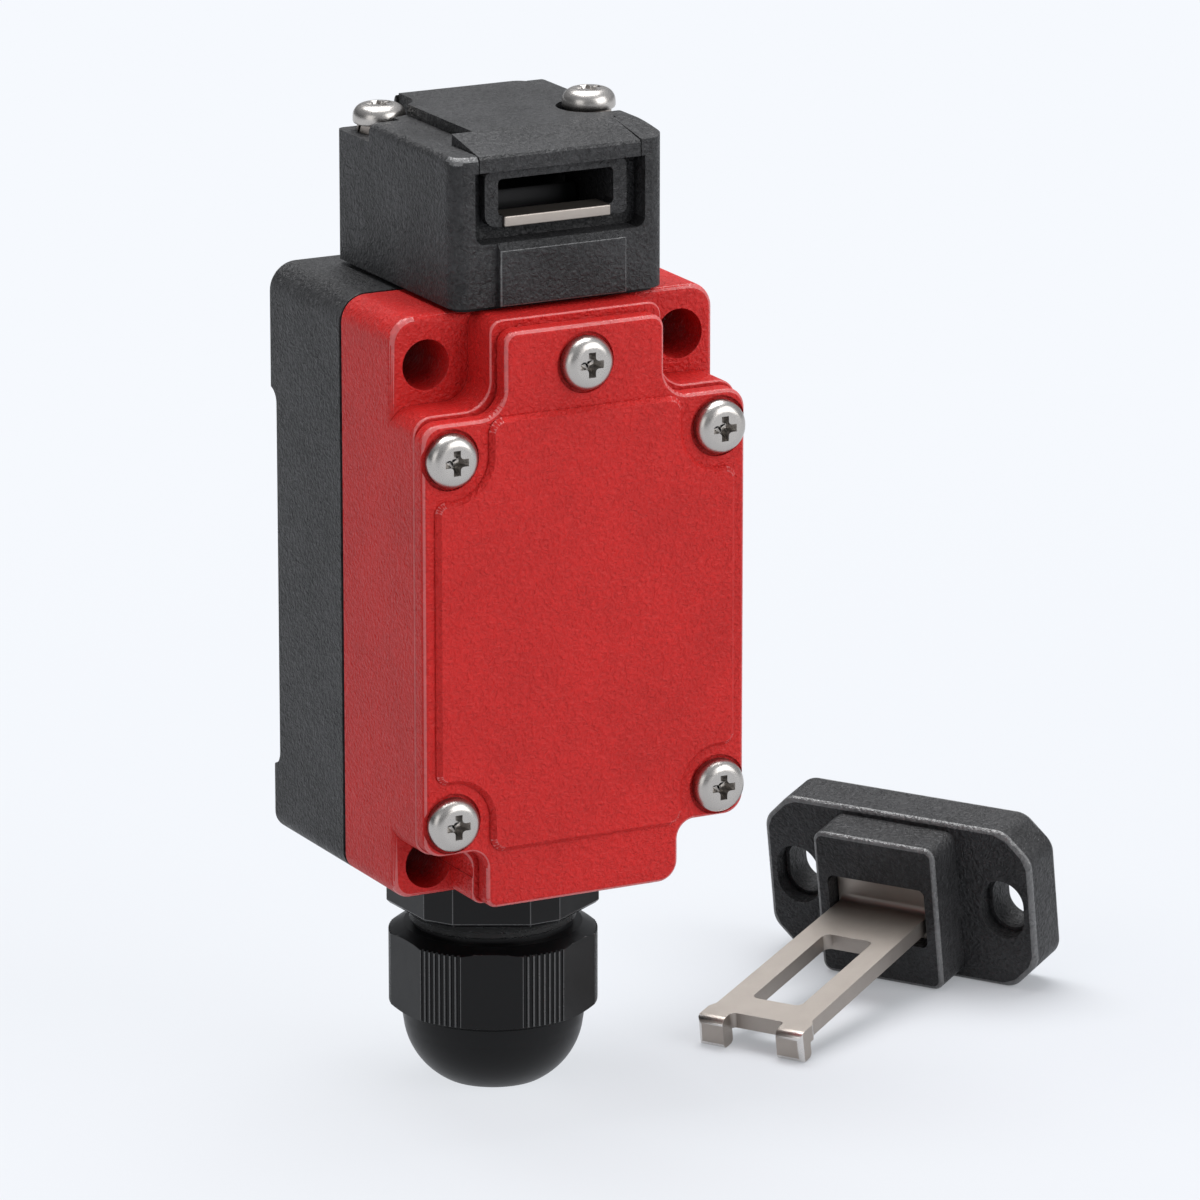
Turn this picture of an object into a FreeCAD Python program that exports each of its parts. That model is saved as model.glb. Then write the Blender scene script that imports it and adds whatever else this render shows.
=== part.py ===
import FreeCAD, Part
import math
import os

# Tongue interlock switch with its separate actuator.
# X is the width, the front faces -Y, Z is up, lengths in millimetres.
# The origin is the centre of the four mounting holes on the back face.

os.makedirs("parts", exist_ok=True)
V = FreeCAD.Vector
UP = V(0, 0, 1)
FRONT = V(0, -1, 0)
RIGHT = V(1, 0, 0)

# Mounting holes, a vertical pair on each side
mount_dz = 60.0
mount_edge = 4.5           # from each side face to the holes
mount_r = 3.0
ear_over = 5.8             # body above the upper holes
ear_under = 4.0            # body below the lower holes

# Body envelope
body_width = 42.0
half = body_width / 2
mount_dx = body_width - 2 * mount_edge
body_top = mount_dz / 2 + ear_over
body_bottom = -mount_dz / 2 - ear_under
rear_depth = 19.3          # back face to the split line
seal_thick = 0.6           # flat gasket in the split line
front_back = rear_depth + seal_thick
ear_thick = 13.0
ear_face = front_back + ear_thick
raised_front = 5.7
body_face = ear_face + raised_front
wall = 3.0
body_inside = body_bottom + wall
corner_top = 3.4
corner_low = 2.3
edge_soft = 0.7            # small radius on moulded outer edges
relief_depth = 2.0         # shallow recess in the back face
relief_top = body_top - 15.0
relief_low = body_bottom + 8.2
seal_inset = 0.45          # the split line's gasket lies this far in

# Front outline with its tabs and shelves, as the cover has it
tab_half = 10.35
tab_top = body_top - 1.0
shelf_top = body_top - 10.9
shelf_low = body_bottom + 7.2
foot_right = 12.3
foot_left = 12.9
rim = 0.75                 # how far the housing stands out round the cover
tab_round = 1.7
shelf_hollow = 3.2
shelf_round = 2.5
foot_hollow = 2.2

# Cover, its gasket and its raised panel
cover_gasket = 0.3
cover_thick = 2.1
cover_back = body_face + cover_gasket
cover_face = cover_back + cover_thick
panel_rise = 0.75
panel_edge = 1.5
panel_half = half - panel_edge
panel_top = shelf_top + 0.1
panel_low = shelf_low - 0.2
panel_bevel = 0.55
panel_round = 1.4
panel_neck_round = 1.9

# Cover screws, pan head with cross recess
screw_edge = 3.6
screw_side = half - screw_edge
screw_up = shelf_top - 4.3
screw_down = shelf_low + 3.9
screw_mid = tab_top - 4.6
screw_head_r = 3.2
screw_head_h = 2.1
screw_r = 1.5
screw_len = 9.5
screw_sink_r = 3.65
screw_sink = 0.45
screw_gap = 0.15           # radial clearance where a shank passes through
bore_end = 0.3             # a tapped bore runs this far past its screw
panel_round_screw = 4.85

# Body screws, from the back into the front half, in line with the cover screws
body_screw_head_r = 2.9
body_screw_head_h = 1.8
body_screw_len = 22.0

# Interior
side_wall = 2.6
cavity_half = half - side_wall
cavity_up = screw_up - 5.4
cavity_down = screw_down + 4.5
chimney_half = mount_dx / 2 - mount_r - 1.2
chimney_top = body_top - 10.4
back_wall = 4.4

# Turret joint between head and body
axis_y = -19.4
turret_r = 9.2
turret_flange_r = 11.2
turret_flange_h = 1.8
turret_wall = 3.4
turret_gap = 0.06
turret_room_gap = 0.25
turret_flange_top = body_top - turret_wall
turret_flange_low = turret_flange_top - turret_flange_h
turret_bore_r = 5.2
seal_room_h = 4.4          # room for the plunger's seal above its collar

# Head, its heights counted from its own base
head_rise = 0.6            # the head's base over the body's top
head_base = body_top + head_rise
head_height = 19.1
head_half = 13.8
head_back = 4.0
head_front = 34.8
roof = head_base + head_height
shoulder_left = roof - 1.3
shoulder_right = roof - 0.1
roof_front = head_front - 7.2
roof_left = -7.7
roof_right = 10.9
brow_half = 10.4
brow_drop = 1.4
cap_thick = 2.9
cap_seat = roof - cap_thick
cap_gap = 0.12
window_half = 11.0
window_h = 8.4
window_top = cap_seat - 0.4
window_low = window_top - window_h
window_deep = 2.8
pad_half = 8.2
pad_out = 0.9
pad_top = window_low - 0.9
head_soft = 1.0
head_corner = 2.2
plate_thick = 3.2          # turret plate inside the head's skirt
head_floor = head_base + plate_thick
skirt_wall = 1.7

# Key slot
frame_half = 9.2
frame_h = 6.55
frame_top = window_top - 0.25
frame_low = frame_top - frame_h
frame_out = 1.6
frame_chamfer = 0.8
frame_chamfer_left = 1.6
slot_half = 7.45
slot_h = 4.3
slot_top = frame_top - 0.95
slot_low = slot_top - slot_h
slot_corner = 0.5
neck_half = frame_half - 1.05
neck_top = frame_top - 0.2
neck_low = frame_low + 0.65
lip_half = 6.9
lip_drop = 1.3
lip_thick = 0.35
lip_fold = 0.9

# Head screws
head_screw_left = (-head_half + 4.0, -head_back - 3.4)
head_screw_right = (head_half - 3.0, -head_back - 17.0)
head_screw_r = 1.4
head_screw_head_r = 3.15
head_screw_head_h = 2.3
head_screw_room = 3.6
notch_left_z = roof - 3.5
notch_right_z = roof - 1.1
washer_h = 0.9
washer_r = 2.65

# Cam and plunger
cam_y = axis_y
cam_z = slot_low - 1.1
cam_half = 7.2
cam_r = 5.6
hook_notch_w = 3.8
hook_notch_floor = 2.7
notch_turn = 48.0          # leans to the key slot when no key is in
cam_turn = 70.0            # degrees from key out to key in
low_dwell = 50.0           # degrees of cam beyond the plunger's seat
lift = 3.0
flank_steps = 8
axle_r = 1.5
axle_half = 9.1
run_gap = 0.05
plunger_r = 2.4
plunger_gap = 0.3
plunger_end = turret_flange_low - 2.6
collar_h = 1.2
collar_gap = 0.4
seal_ring_h = 1.6
cam_side_gap = 0.5
head_cavity_half = cam_half + cam_side_gap
head_cavity_front = head_front - 3.3
head_cavity_back = head_back + 4.0
cam_room_half = 9.1

# Contact block
block_half = 14.5
block_back = 7.6
block_front = 28.6
block_low = -13.0
block_top = 14.6
block_floor = 1.8
block_round = 1.0
channel_half = 3.6
channel_deep = 3.8
slide_gap = 0.2
bridge_half = 9.0
bridge_w = 4.4
bridge_h = 1.0
room_gap = 0.5
tip_r = 1.5
tip_h = 0.7
tip_inset = 0.2
bridge_up_z = 6.0
bridge_low_z = -5.0
contact_rest_gap = 0.3
strip_h = 1.0
terminal_x = 10.8
terminal_half = 2.6
terminal_plate = 1.0
terminal_h = 5.6
terminal_screw_r = 1.4
terminal_screw_len = 5.0
terminal_head_r = 2.3
terminal_head_h = 1.6
block_screw_r = 1.25
block_screw_head_r = 2.4
block_screw_head_h = 1.6
block_screw_edge = 2.9
block_screw_sink = 4.0
block_screw_grip = 0.8
post_r = 2.8
return_spring_r = 2.2
return_wire = 0.5
contact_spring_r = 1.5
contact_wire = 0.4
contact_spring_h = 3.2
coil_stations = 14

# Cable gland, metric 20
gland_y = -16.8
entry_r = 10.0
entry_gap = 0.25
gland_seal_h = 0.8
gland_seal_r = 11.4
gland_af = 24.0
gland_corner = 12.7        # from the axis to the cut-off corners of the body's hexagon
gland_corner_r = 12.55     # radius to the nut's ribbed corners
gland_chamfer = 0.9
gland_hex_h = 6.4
locknut_r = 11.8
locknut_h = 4.0
locknut_gap = 0.02
locknut_notch = 1.0
gland_thread_r = 9.6
thread_over = 0.6
nut_top = body_bottom - 9.9
nut_flat_h = 10.6
dome_r = 10.9
dome_h = 8.5
dome_foot_r = 6.2
dome_low = nut_top - nut_flat_h - dome_h
cage_r = 8.4
cage_bore_r = 6.5
cage_fingers = 10
cage_over = 2.6            # the cage reaches this far below the nut's flats
insert_r = 6.4
insert_gap = 0.05
insert_lip = 0.6
cable_hole_r = 4.2         # through the rubber insert
cable_mouth_r = 5.0        # through the dome
nut_ribs = 8
rib_turn = 3.25            # degrees from groove to groove
rib_groove = 0.24

# Actuator, in its own frame: X width, tongue along -Y, base of the plate at Z 0
plate_w = 37.6
plate_h = 21.4
plate_t = 6.6
plate_chamfer = 3.6
plate_soft = 0.6
plate_hole_dx = 29.0
plate_slot_w = 6.0
plate_slot_len = 7.8
plate_slot_deep = 2.4
plate_step = 0.45
boss_w = 17.0
boss_h = 19.3
boss_out = 5.8
boss_round = 1.4
pocket_w = 13.6
pocket_h = 7.9
pocket_z = 5.65
pocket_deep = 4.2
pocket_round = 0.8
flange_gap = 0.15
tongue_t = 2.0
tongue_w = 12.5
tongue_w_end = 13.4        # the blade widens towards its hooks
tongue_over = 1.7          # the tongue's underside over the pocket's lower edge
bend_r = 0.9
hook_w = 14.5
hook_len = 3.0
hook_drop = 3.9
hook_t = 2.2
hook_taper = 1.0
hook_soft = 0.6            # corners of the hooks
bend_out_r = 1.0           # outside of the hooks' bend
tongue_len = 32.6
tongue_slot_w = 6.8
tongue_slot_len = 18.6
tongue_slot_from = 7.2
tongue_notch = 2.4
rivet_x = 4.2
rivet_r = 1.0
act_yaw = -58.3
act_x = 63.6
act_y = -5.2


def box(x0, x1, y0, y1, z0, z1):
    return Part.makeBox(x1 - x0, y1 - y0, z1 - z0, V(x0, y0, z0))


def rod(radius, start, end):
    """A cylinder between two points."""
    axis = end - start
    return Part.makeCylinder(radius, axis.Length, start, axis)


def outline(points, upright, level):
    """A closed wire of straight runs, each corner rounded by its own radius."""
    corners = []
    count = len(points)
    for i, (a, b, r) in enumerate(points):
        here = V(a, b, 0)
        before = V(points[i - 1][0], points[i - 1][1], 0)
        after = V(points[(i + 1) % count][0], points[(i + 1) % count][1], 0)
        d0 = (before - here).normalize()
        d1 = (after - here).normalize()
        turn = math.acos(max(-1.0, min(1.0, d0.dot(d1))))
        if r <= 0:
            corners.append((here, here, here))
            continue
        reach = r / math.tan(turn / 2)
        start = here + d0 * reach
        end = here + d1 * reach
        middle = (d0 + d1).normalize()
        arc = here + middle * (r / math.sin(turn / 2) - r)
        corners.append((start, arc, end))
    edges = []
    for i, (start, arc, end) in enumerate(corners):
        if (end - start).Length > 1e-6:
            edges.append(Part.Arc(start, arc, end).toShape())
        follow = corners[(i + 1) % count][0]
        if (follow - end).Length > 1e-6:
            edges.append(Part.LineSegment(end, follow).toShape())
    wire = Part.Wire(Part.__sortEdges__(edges))
    if upright:
        wire.rotate(V(0, 0, 0), RIGHT, 90)
        wire.translate(V(0, level, 0))
    else:
        wire.translate(V(0, 0, level))
    return wire


def prism(points, y_back, y_front):
    """An outline in X and Z carried from one depth to another, both given as Y."""
    face = Part.Face(outline(points, True, y_back))
    return face.extrude(V(0, y_front - y_back, 0))


def slab(points, z0, z1):
    """An outline in X and Y carried from one height to another."""
    return Part.Face(outline(points, False, z0)).extrude(V(0, 0, z1 - z0))


def slot_hole(x, z, width, length, y0, y1):
    """An upright round-ended slot cut along Y."""
    r = width / 2
    h = length / 2
    c = r - 0.01
    return prism([(x - r, z - h, c), (x + r, z - h, c), (x + r, z + h, c), (x - r, z + h, c)], y0, y1)


def soften(shape, radius, pick):
    """Round the edges that pick chooses."""
    chosen = [e for e in shape.Edges if pick(e)]
    return shape.makeFillet(radius, chosen) if chosen else shape


def on_plane(edge, axis, value, tol=1e-4):
    """True when the whole edge lies on a plane across the given axis."""
    b = edge.BoundBox
    low, high = {"x": (b.XMin, b.XMax), "y": (b.YMin, b.YMax), "z": (b.ZMin, b.ZMax)}[axis]
    return abs(low - value) < tol and abs(high - value) < tol


def cut(shape, *tools):
    for tool in tools:
        shape = shape.cut(tool)
    return shape


def fuse(first, *others):
    for other in others:
        first = first.fuse(other)
    return first.removeSplitter()


def save(name, *solids):
    shape = solids[0] if len(solids) == 1 else Part.makeCompound(list(solids))
    shape.exportStep("parts/" + name + ".step")


mount_points = [(sx * mount_dx / 2, sz * mount_dz / 2) for sx in (-1, 1) for sz in (-1, 1)]
cover_points = [(-screw_side, screw_up), (screw_side, screw_up), (-screw_side, screw_down),
                (screw_side, screw_down), (0, screw_mid)]
body_points = [(sx * mount_dx / 2, z) for sx in (-1, 1) for z in (screw_up, screw_down)]


def front_outline(grow):
    """Outline of the cover, or of the raised front round it when grow is the rim."""
    side = half if grow >= 0 else half + grow
    top = tab_top + grow if grow < 0 else min(tab_top + grow * 1.3, body_top)
    bottom = body_bottom if grow >= 0 else body_bottom - grow
    tab = tab_half + grow
    up = shelf_top + grow * 0.7
    low = shelf_low - grow * 0.5
    return [(tab, top, tab_round), (tab, up, shelf_hollow), (side, up, shelf_round), (side, low, shelf_round),
            (foot_right + grow, low, foot_hollow), (foot_right + grow, bottom, shelf_round),
            (-foot_left - grow, bottom, 1.4), (-foot_left - grow, low, foot_hollow), (-side, low, shelf_round),
            (-side, up, shelf_round), (-tab, up, shelf_hollow), (-tab, top, tab_round)]


def cavity_outline(grow=0.0):
    """Hollow that both halves share, kept clear of mounting holes and screws."""
    g = grow
    return [(chimney_half + g, chimney_top + g, 1.5), (chimney_half + g, cavity_up + g, 1.0),
            (cavity_half + g, cavity_up + g, 1.5), (cavity_half + g, cavity_down - g, 1.5),
            (chimney_half + g, cavity_down - g, 1.0), (chimney_half + g, body_inside - g, 0.4),
            (-chimney_half - g, body_inside - g, 0.4), (-chimney_half - g, cavity_down - g, 1.0),
            (-cavity_half - g, cavity_down - g, 1.5), (-cavity_half - g, cavity_up + g, 1.5),
            (-chimney_half - g, cavity_up + g, 1.0), (-chimney_half - g, chimney_top + g, 1.5)]


def full_outline(inset=0.0):
    i = inset
    return [(half - i, body_top - i, corner_top), (half - i, body_bottom + i, corner_low),
            (-half + i, body_bottom + i, corner_low), (-half + i, body_top - i, corner_top)]


def notched_outline(inset=0.0):
    """Front half: the lower right corner is open back to the rear half."""
    i = inset
    x = foot_right + rim - i
    z = shelf_low - rim * 0.5 + i
    return [(half - i, body_top - i, corner_top - 0.3), (half - i, z, shelf_round), (x, z, foot_hollow),
            (x, body_bottom + i, shelf_round), (-half + i, body_bottom + i, corner_low),
            (-half + i, body_top - i, corner_top - 0.3)]


def mount_cuts(y0, y1, grow=0.0):
    return [rod(mount_r + grow, V(x, y0, z), V(x, y1, z)) for x, z in mount_points]


def turret_room(radius, z0, z1):
    return Part.makeCylinder(radius, z1 - z0, V(0, axis_y, z0), UP)


def turret_cuts(grow=0.0):
    """Bore for the head's spigot and the wider room for its flange, split between both halves."""
    bore = turret_room(turret_r + turret_gap + grow, chimney_top - 1, body_top + 1)
    wide = turret_flange_r + turret_room_gap + grow
    return [bore, turret_room(wide, chimney_top - 3, turret_flange_top + turret_gap)]


def entry_cut(grow=0.0):
    radius = entry_r + entry_gap + grow
    return rod(radius, V(0, gland_y, body_bottom - 1), V(0, gland_y, body_inside + 2))


def body_screw_cuts(radius, y0, y1):
    return [rod(radius, V(x, y0, z), V(x, y1, z)) for x, z in body_points]


def rear_housing():
    shape = prism(full_outline(), 0, -rear_depth)
    shape = soften(shape, edge_soft, lambda e: on_plane(e, "y", 0))
    recess = prism([(half + 1, relief_top, 0), (half + 1, relief_low, 0), (-half - 1, relief_low, 0),
                    (-half - 1, relief_top, 0)], 1, -relief_depth)
    recess = soften(recess, relief_depth * 0.9,
                    lambda e: on_plane(e, "y", -relief_depth) and e.BoundBox.XLength > body_width)
    shape = cut(shape, recess)
    hollow = prism(cavity_outline(), -back_wall, -rear_depth - 1)
    shape = cut(shape, hollow, entry_cut(), *turret_cuts(), *mount_cuts(1, -rear_depth - 1))
    shape = fuse(shape, *block_posts())
    bore = body_screw_cuts(screw_r + screw_gap, 1, -rear_depth - 1)
    sink = body_screw_cuts(body_screw_head_r + screw_gap, 1, -relief_depth - body_screw_head_h - 0.1)
    return cut(shape, *bore, *sink, *block_screw_bores())


def body_seal():
    ring = prism(notched_outline(seal_inset), -rear_depth, -front_back)
    hollow = prism(cavity_outline(0.3), 0, -front_back - 1)
    ring = cut(ring, hollow, entry_cut(0.6), *turret_cuts(0.3))
    return cut(ring, *mount_cuts(0, -front_back - 1, 0.6),
               *body_screw_cuts(screw_r + 0.4, 0, -front_back - 1))


def front_housing():
    flange = prism(notched_outline(), -front_back, -ear_face)
    flange = soften(flange, edge_soft * 1.3, lambda e: on_plane(e, "y", -ear_face))
    raised = prism(front_outline(rim), -front_back - 1, -body_face)
    raised = soften(raised, 0.35, lambda e: on_plane(e, "y", -body_face))
    shape = fuse(flange, raised)
    hollow = prism(cavity_outline(), -front_back + 1, -body_face - 1)
    shape = cut(shape, hollow, entry_cut(), *turret_cuts(), *mount_cuts(-front_back + 1, -body_face - 1))
    bore_low = -cover_face + screw_sink + screw_len + bore_end
    cover_holes = [rod(screw_r, V(x, -body_face - 1, z), V(x, bore_low, z)) for x, z in cover_points]
    depth = -relief_depth - body_screw_head_h - body_screw_len
    return cut(shape, *cover_holes, *body_screw_cuts(screw_r, -front_back + 1, depth - bore_end))


def body_screws():
    """Flat cheese-head screws that pull the two halves together."""
    out = []
    for x, z in body_points:
        seat = -relief_depth - body_screw_head_h
        head = rod(body_screw_head_r, V(x, seat + body_screw_head_h - 0.1, z), V(x, seat, z))
        drive = cross_recess(V(x, seat + body_screw_head_h - 0.1, z), V(0, -1, 0), 1.5, 1.0)
        shank = rod(screw_r, V(x, seat, z), V(x, seat - body_screw_len, z))
        out.append(cut(fuse(head, shank), drive))
    return out


def cross_recess(top, inward, reach, depth):
    """A tapered cross, cut from a screw head's crown along the inward direction."""
    arms = None
    for turn in (0, 90):
        tip = reach * 0.45
        w = reach * 0.27
        low = Part.makePolygon([V(-tip, -w * 0.6, depth), V(tip, -w * 0.6, depth), V(tip, w * 0.6, depth),
                                V(-tip, w * 0.6, depth), V(-tip, -w * 0.6, depth)])
        high = Part.makePolygon([V(-reach, -w, -1.0), V(reach, -w, -1.0), V(reach, w, -1.0),
                                 V(-reach, w, -1.0), V(-reach, -w, -1.0)])
        arm = Part.makeLoft([high, low], True)
        arm.rotate(V(0, 0, 0), UP, turn)
        arms = arm if arms is None else arms.fuse(arm)
    arms.Placement = FreeCAD.Placement(top, FreeCAD.Rotation(UP, inward))
    return arms


def pan_screw(seat, out, head_r, head_h, shank_r, length):
    """Pan head with a cross recess: seat is under the head, out points away from the work."""
    edge = head_h * 0.42
    profile = Part.Wire([Part.LineSegment(V(0, 0, 0), V(head_r - 0.25, 0, 0)).toShape(),
                         Part.LineSegment(V(head_r - 0.25, 0, 0), V(head_r, 0, 0.25)).toShape(),
                         Part.LineSegment(V(head_r, 0, 0.25), V(head_r, 0, edge)).toShape(),
                         Part.Arc(V(head_r, 0, edge), V(head_r * 0.74, 0, head_h * 0.86),
                                  V(head_r * 0.2, 0, head_h)).toShape(),
                         Part.LineSegment(V(head_r * 0.2, 0, head_h), V(0, 0, head_h)).toShape(),
                         Part.LineSegment(V(0, 0, head_h), V(0, 0, 0)).toShape()])
    head = Part.Face(profile).revolve(V(0, 0, 0), UP, 360)
    head = head.cut(cross_recess(V(0, 0, head_h), V(0, 0, -1), head_r * 0.55, head_h * 0.7))
    shank = rod(shank_r, V(0, 0, 0), V(0, 0, -length))
    screw = head.fuse(shank)
    screw.Placement = FreeCAD.Placement(seat, FreeCAD.Rotation(UP, out))
    return screw


def cover_screws():
    seat = -cover_face + screw_sink
    return [pan_screw(V(x, seat, z), FRONT, screw_head_r, screw_head_h, screw_r, screw_len)
            for x, z in cover_points]


def cover_seal():
    ring = prism(front_outline(-0.5), -body_face, -cover_back)
    ring = cut(ring, prism(cavity_outline(0.6), 0, -cover_back - 1))
    return cut(ring, *[rod(screw_r + screw_gap + 0.2, V(x, 0, z), V(x, -cover_back - 1, z))
                       for x, z in cover_points])


def panel_outline():
    """Raised field with a hollow round each of the four corner screws."""
    r = panel_round_screw
    up = screw_up - r
    low = screw_down + r
    neck = screw_side - r
    side = panel_half
    soft = panel_round
    tip = panel_neck_round
    return [(neck, panel_top, tip), (neck, up, r), (side, up, soft), (side, low, soft),
            (neck, low, r), (neck, panel_low, tip), (-neck, panel_low, tip), (-neck, low, r),
            (-side, low, soft), (-side, up, soft), (-neck, up, r), (-neck, panel_top, tip)]


def cover():
    plate = prism(front_outline(0), -cover_back, -cover_face)
    plate = soften(plate, edge_soft, lambda e: on_plane(e, "y", -cover_face))
    panel = prism(panel_outline(), -cover_face + 0.5, -cover_face - panel_rise)
    rim_edges = [e for e in panel.Edges if on_plane(e, "y", -cover_face - panel_rise)]
    panel = panel.makeChamfer(panel_bevel, rim_edges)
    plate = fuse(plate, panel)
    sinks = [rod(screw_sink_r, V(x, -cover_face - panel_rise - 1, z), V(x, -cover_face + screw_sink, z))
             for x, z in cover_points]
    bores = [rod(screw_r + screw_gap, V(x, -cover_back + 1, z), V(x, -cover_face - 1, z))
             for x, z in cover_points]
    return cut(plate, *sinks, *bores)


# Head

def head_outline(inset=0.0, corner=head_corner, back=1.0):
    i = inset
    return [(head_half - i, -head_back - i, back), (head_half - i, -head_front + i, corner),
            (-head_half + i, -head_front + i, corner), (-head_half + i, -head_back - i, back)]


def turret():
    """Plate under the head with the spigot and flange that the split housing holds."""
    plate = slab(head_outline(skirt_wall, 1.5, 1.0), head_base, head_floor)
    spigot = turret_room(turret_r, turret_flange_low, head_base)
    flange = turret_room(turret_flange_r, turret_flange_low, turret_flange_top)
    shape = fuse(plate, spigot, flange)
    tower = Part.makeCylinder(plunger_r + run_gap, roof - body_bottom, V(0, axis_y, body_bottom), UP)
    bottom_room = Part.makeCylinder(turret_bore_r, seal_room_h, V(0, axis_y, turret_flange_low - 0.01), UP)
    cam_room = box(-head_cavity_half, head_cavity_half, axis_y - cam_room_half, axis_y + cam_room_half,
                   head_floor - plate_thick / 2, head_floor + 1)
    shape = cut(shape, tower, bottom_room, cam_room)
    screws = [rod(head_screw_r, V(x, y, head_base + 0.3), V(x, y, head_floor + 1))
              for x, y in (head_screw_left, head_screw_right)]
    return cut(shape, *screws)


def roof_outline():
    """Plan of the raised roof: hollowed beside each screw, wide at the brow."""
    return [(roof_right, -head_back - 0.6, 2.0), (roof_right, -roof_front, 0.6), (roof_left, -roof_front, 0.6),
            (roof_left, -head_back - 0.6, 2.0)]


def head_block():
    """Outer form of the head with shoulders, brow slope and front pad, before it is hollowed."""
    top = shoulder_right
    shape = slab(head_outline(), head_base, top)
    low_left = box(-head_half - 1, roof_left, -head_front - 1, -head_back + 1, shoulder_left, top + 1)
    shape = cut(shape, low_left)
    shape = soften(shape, head_soft, lambda e: on_plane(e, "z", shoulder_left)
                   and e.BoundBox.XMin < roof_left - 0.1 and e.BoundBox.XMax < roof_left + 0.01)
    shape = soften(shape, head_soft, lambda e: on_plane(e, "z", top) and e.BoundBox.XMax > roof_left + 0.1)
    x = -head_half - 1
    front = -head_front - 1
    wedge = [V(x, -roof_front, top), V(x, -roof_front, top + 2), V(x, front, top + 2),
             V(x, front, top - brow_drop), V(x, -roof_front, top)]
    return cut(shape, Part.Face(Part.makePolygon(wedge)).extrude(V(2 * head_half + 2, 0, 0)))


def pad_block():
    out = head_front + pad_out
    x = -pad_half
    back = -head_front + 1
    profile = [V(x, back, head_base), V(x, -out, head_base), V(x, -out, pad_top),
               V(x, -head_front, window_low), V(x, back, window_low), V(x, back, head_base)]
    block = Part.Face(Part.makePolygon(profile)).extrude(V(2 * pad_half, 0, 0))
    front = [e for e in block.Edges if on_plane(e, "y", -out)]
    return block.makeFillet(0.4, front)


def screw_notches():
    lx, ly = head_screw_left
    rx, ry = head_screw_right
    r = head_screw_room
    left = fuse(box(-head_half - 1, lx, ly - 1.5 * r, -head_back + 1, notch_left_z, roof + 2),
                box(lx - 1, lx + r, ly, -head_back + 1, notch_left_z, roof + 2),
                rod(r, V(lx, ly, notch_left_z), V(lx, ly, roof + 2)))
    right = fuse(box(rx, head_half + 1, ry - r, ry + r, notch_right_z, roof + 2),
                 rod(r, V(rx, ry, notch_right_z), V(rx, ry, roof + 2)))
    return left, right


def cap_region(grow=0.0):
    """Space of the separate roof piece: plateau, brow and the front bar above the window."""
    top = box(roof_left - grow, roof_right + grow, -roof_front, -head_back - 0.6 + grow, cap_seat, roof + 3)
    brow = box(-brow_half - grow, brow_half + grow, -head_front - 1, -roof_front + 0.01, cap_seat, roof + 3)
    bar = box(-brow_half - grow, brow_half + grow, -head_front - 1, -head_front + window_deep + grow,
              window_top - 0.01, cap_seat + 0.1)
    return fuse(top, brow, bar)


def head_housing():
    shape = head_block()
    shape = fuse(shape, pad_block())
    seat = -head_front + window_deep
    w = window_half
    window = prism([(w, window_top, 0), (w, window_low, 1.2), (-w, window_low, 1.2), (-w, window_top, 0)],
                   seat, -head_front - 3)
    c = head_cavity_half
    cavity = box(-c, c, -head_cavity_front, -head_cavity_back, head_base, cap_seat + 1)
    skirt = slab(head_outline(skirt_wall - 0.05, 1.5, 1.0), head_base - 1, head_floor + 0.02)
    n = neck_half + 0.05
    throat = box(-n, n, seat - 1, -head_cavity_front + 0.1, neck_low - 0.05, neck_top + 0.05)
    left, right = screw_notches()
    shape = cut(shape, window, cavity, skirt, throat, cap_region(cap_gap), left, right)
    way = box(-axle_half, axle_half, cam_y - axle_r, cam_y + axle_r, cam_z, cap_seat + 0.1)
    bearing = fuse(cam_axle(), way)
    bores = [rod(head_screw_r + screw_gap, V(x, y, head_base), V(x, y, roof + 2))
             for x, y in (head_screw_left, head_screw_right)]
    return cut(shape, bearing, *bores)


def head_cap():
    """Separate roof piece with the sloped brow over the key slot."""
    plateau = slab(roof_outline(), cap_seat, roof)
    front = -head_front
    seat = front + window_deep
    x = -brow_half
    tip = roof - brow_drop
    profile = [V(x, -roof_front + 2, cap_seat), V(x, -roof_front + 2, roof), V(x, -roof_front, roof),
               V(x, front + 0.3, tip), V(x, front, tip - 0.3), V(x, front, window_top),
               V(x, seat, window_top), V(x, seat, cap_seat), V(x, -roof_front + 2, cap_seat)]
    brow = Part.Face(Part.makePolygon(profile)).extrude(V(2 * brow_half, 0, 0))
    trim = box(-brow_half - 1, roof_left, -roof_front, -head_back, cap_seat - 1, roof + 1)
    brow = cut(brow, trim)
    left, right = screw_notches()
    shape = fuse(plateau, brow)
    lx, ly = head_screw_left
    rx, ry = head_screw_right
    room = head_screw_room + 0.3
    relief = [rod(room, V(lx, ly, cap_seat - 1), V(lx, ly, roof + 1)),
              rod(room, V(rx, ry, cap_seat - 1), V(rx, ry, roof + 1))]
    return cut(shape, left, right, *relief, box(lx - room, lx + room, ly, 0, cap_seat - 1, roof + 1))


def slot_frame():
    """Chamfered ring round the key slot, standing in the window."""
    seat = -head_front + window_deep
    f = frame_half
    c = frame_chamfer
    low_left = (-f, frame_low, frame_chamfer_left)
    ring = prism([(f, frame_top, c), (f, frame_low, c), low_left, (-f, frame_top, c)], seat, seat - frame_out)
    neck = box(-neck_half, neck_half, seat, -head_cavity_front, neck_low, neck_top)
    shape = fuse(ring, neck)
    key = prism([(slot_half, slot_top, slot_corner), (slot_half, slot_low, slot_corner),
                 (-slot_half, slot_low, slot_corner), (-slot_half, slot_top, slot_corner)], 0, -head_front - 2)
    return cut(shape, key, lip_space())


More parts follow.
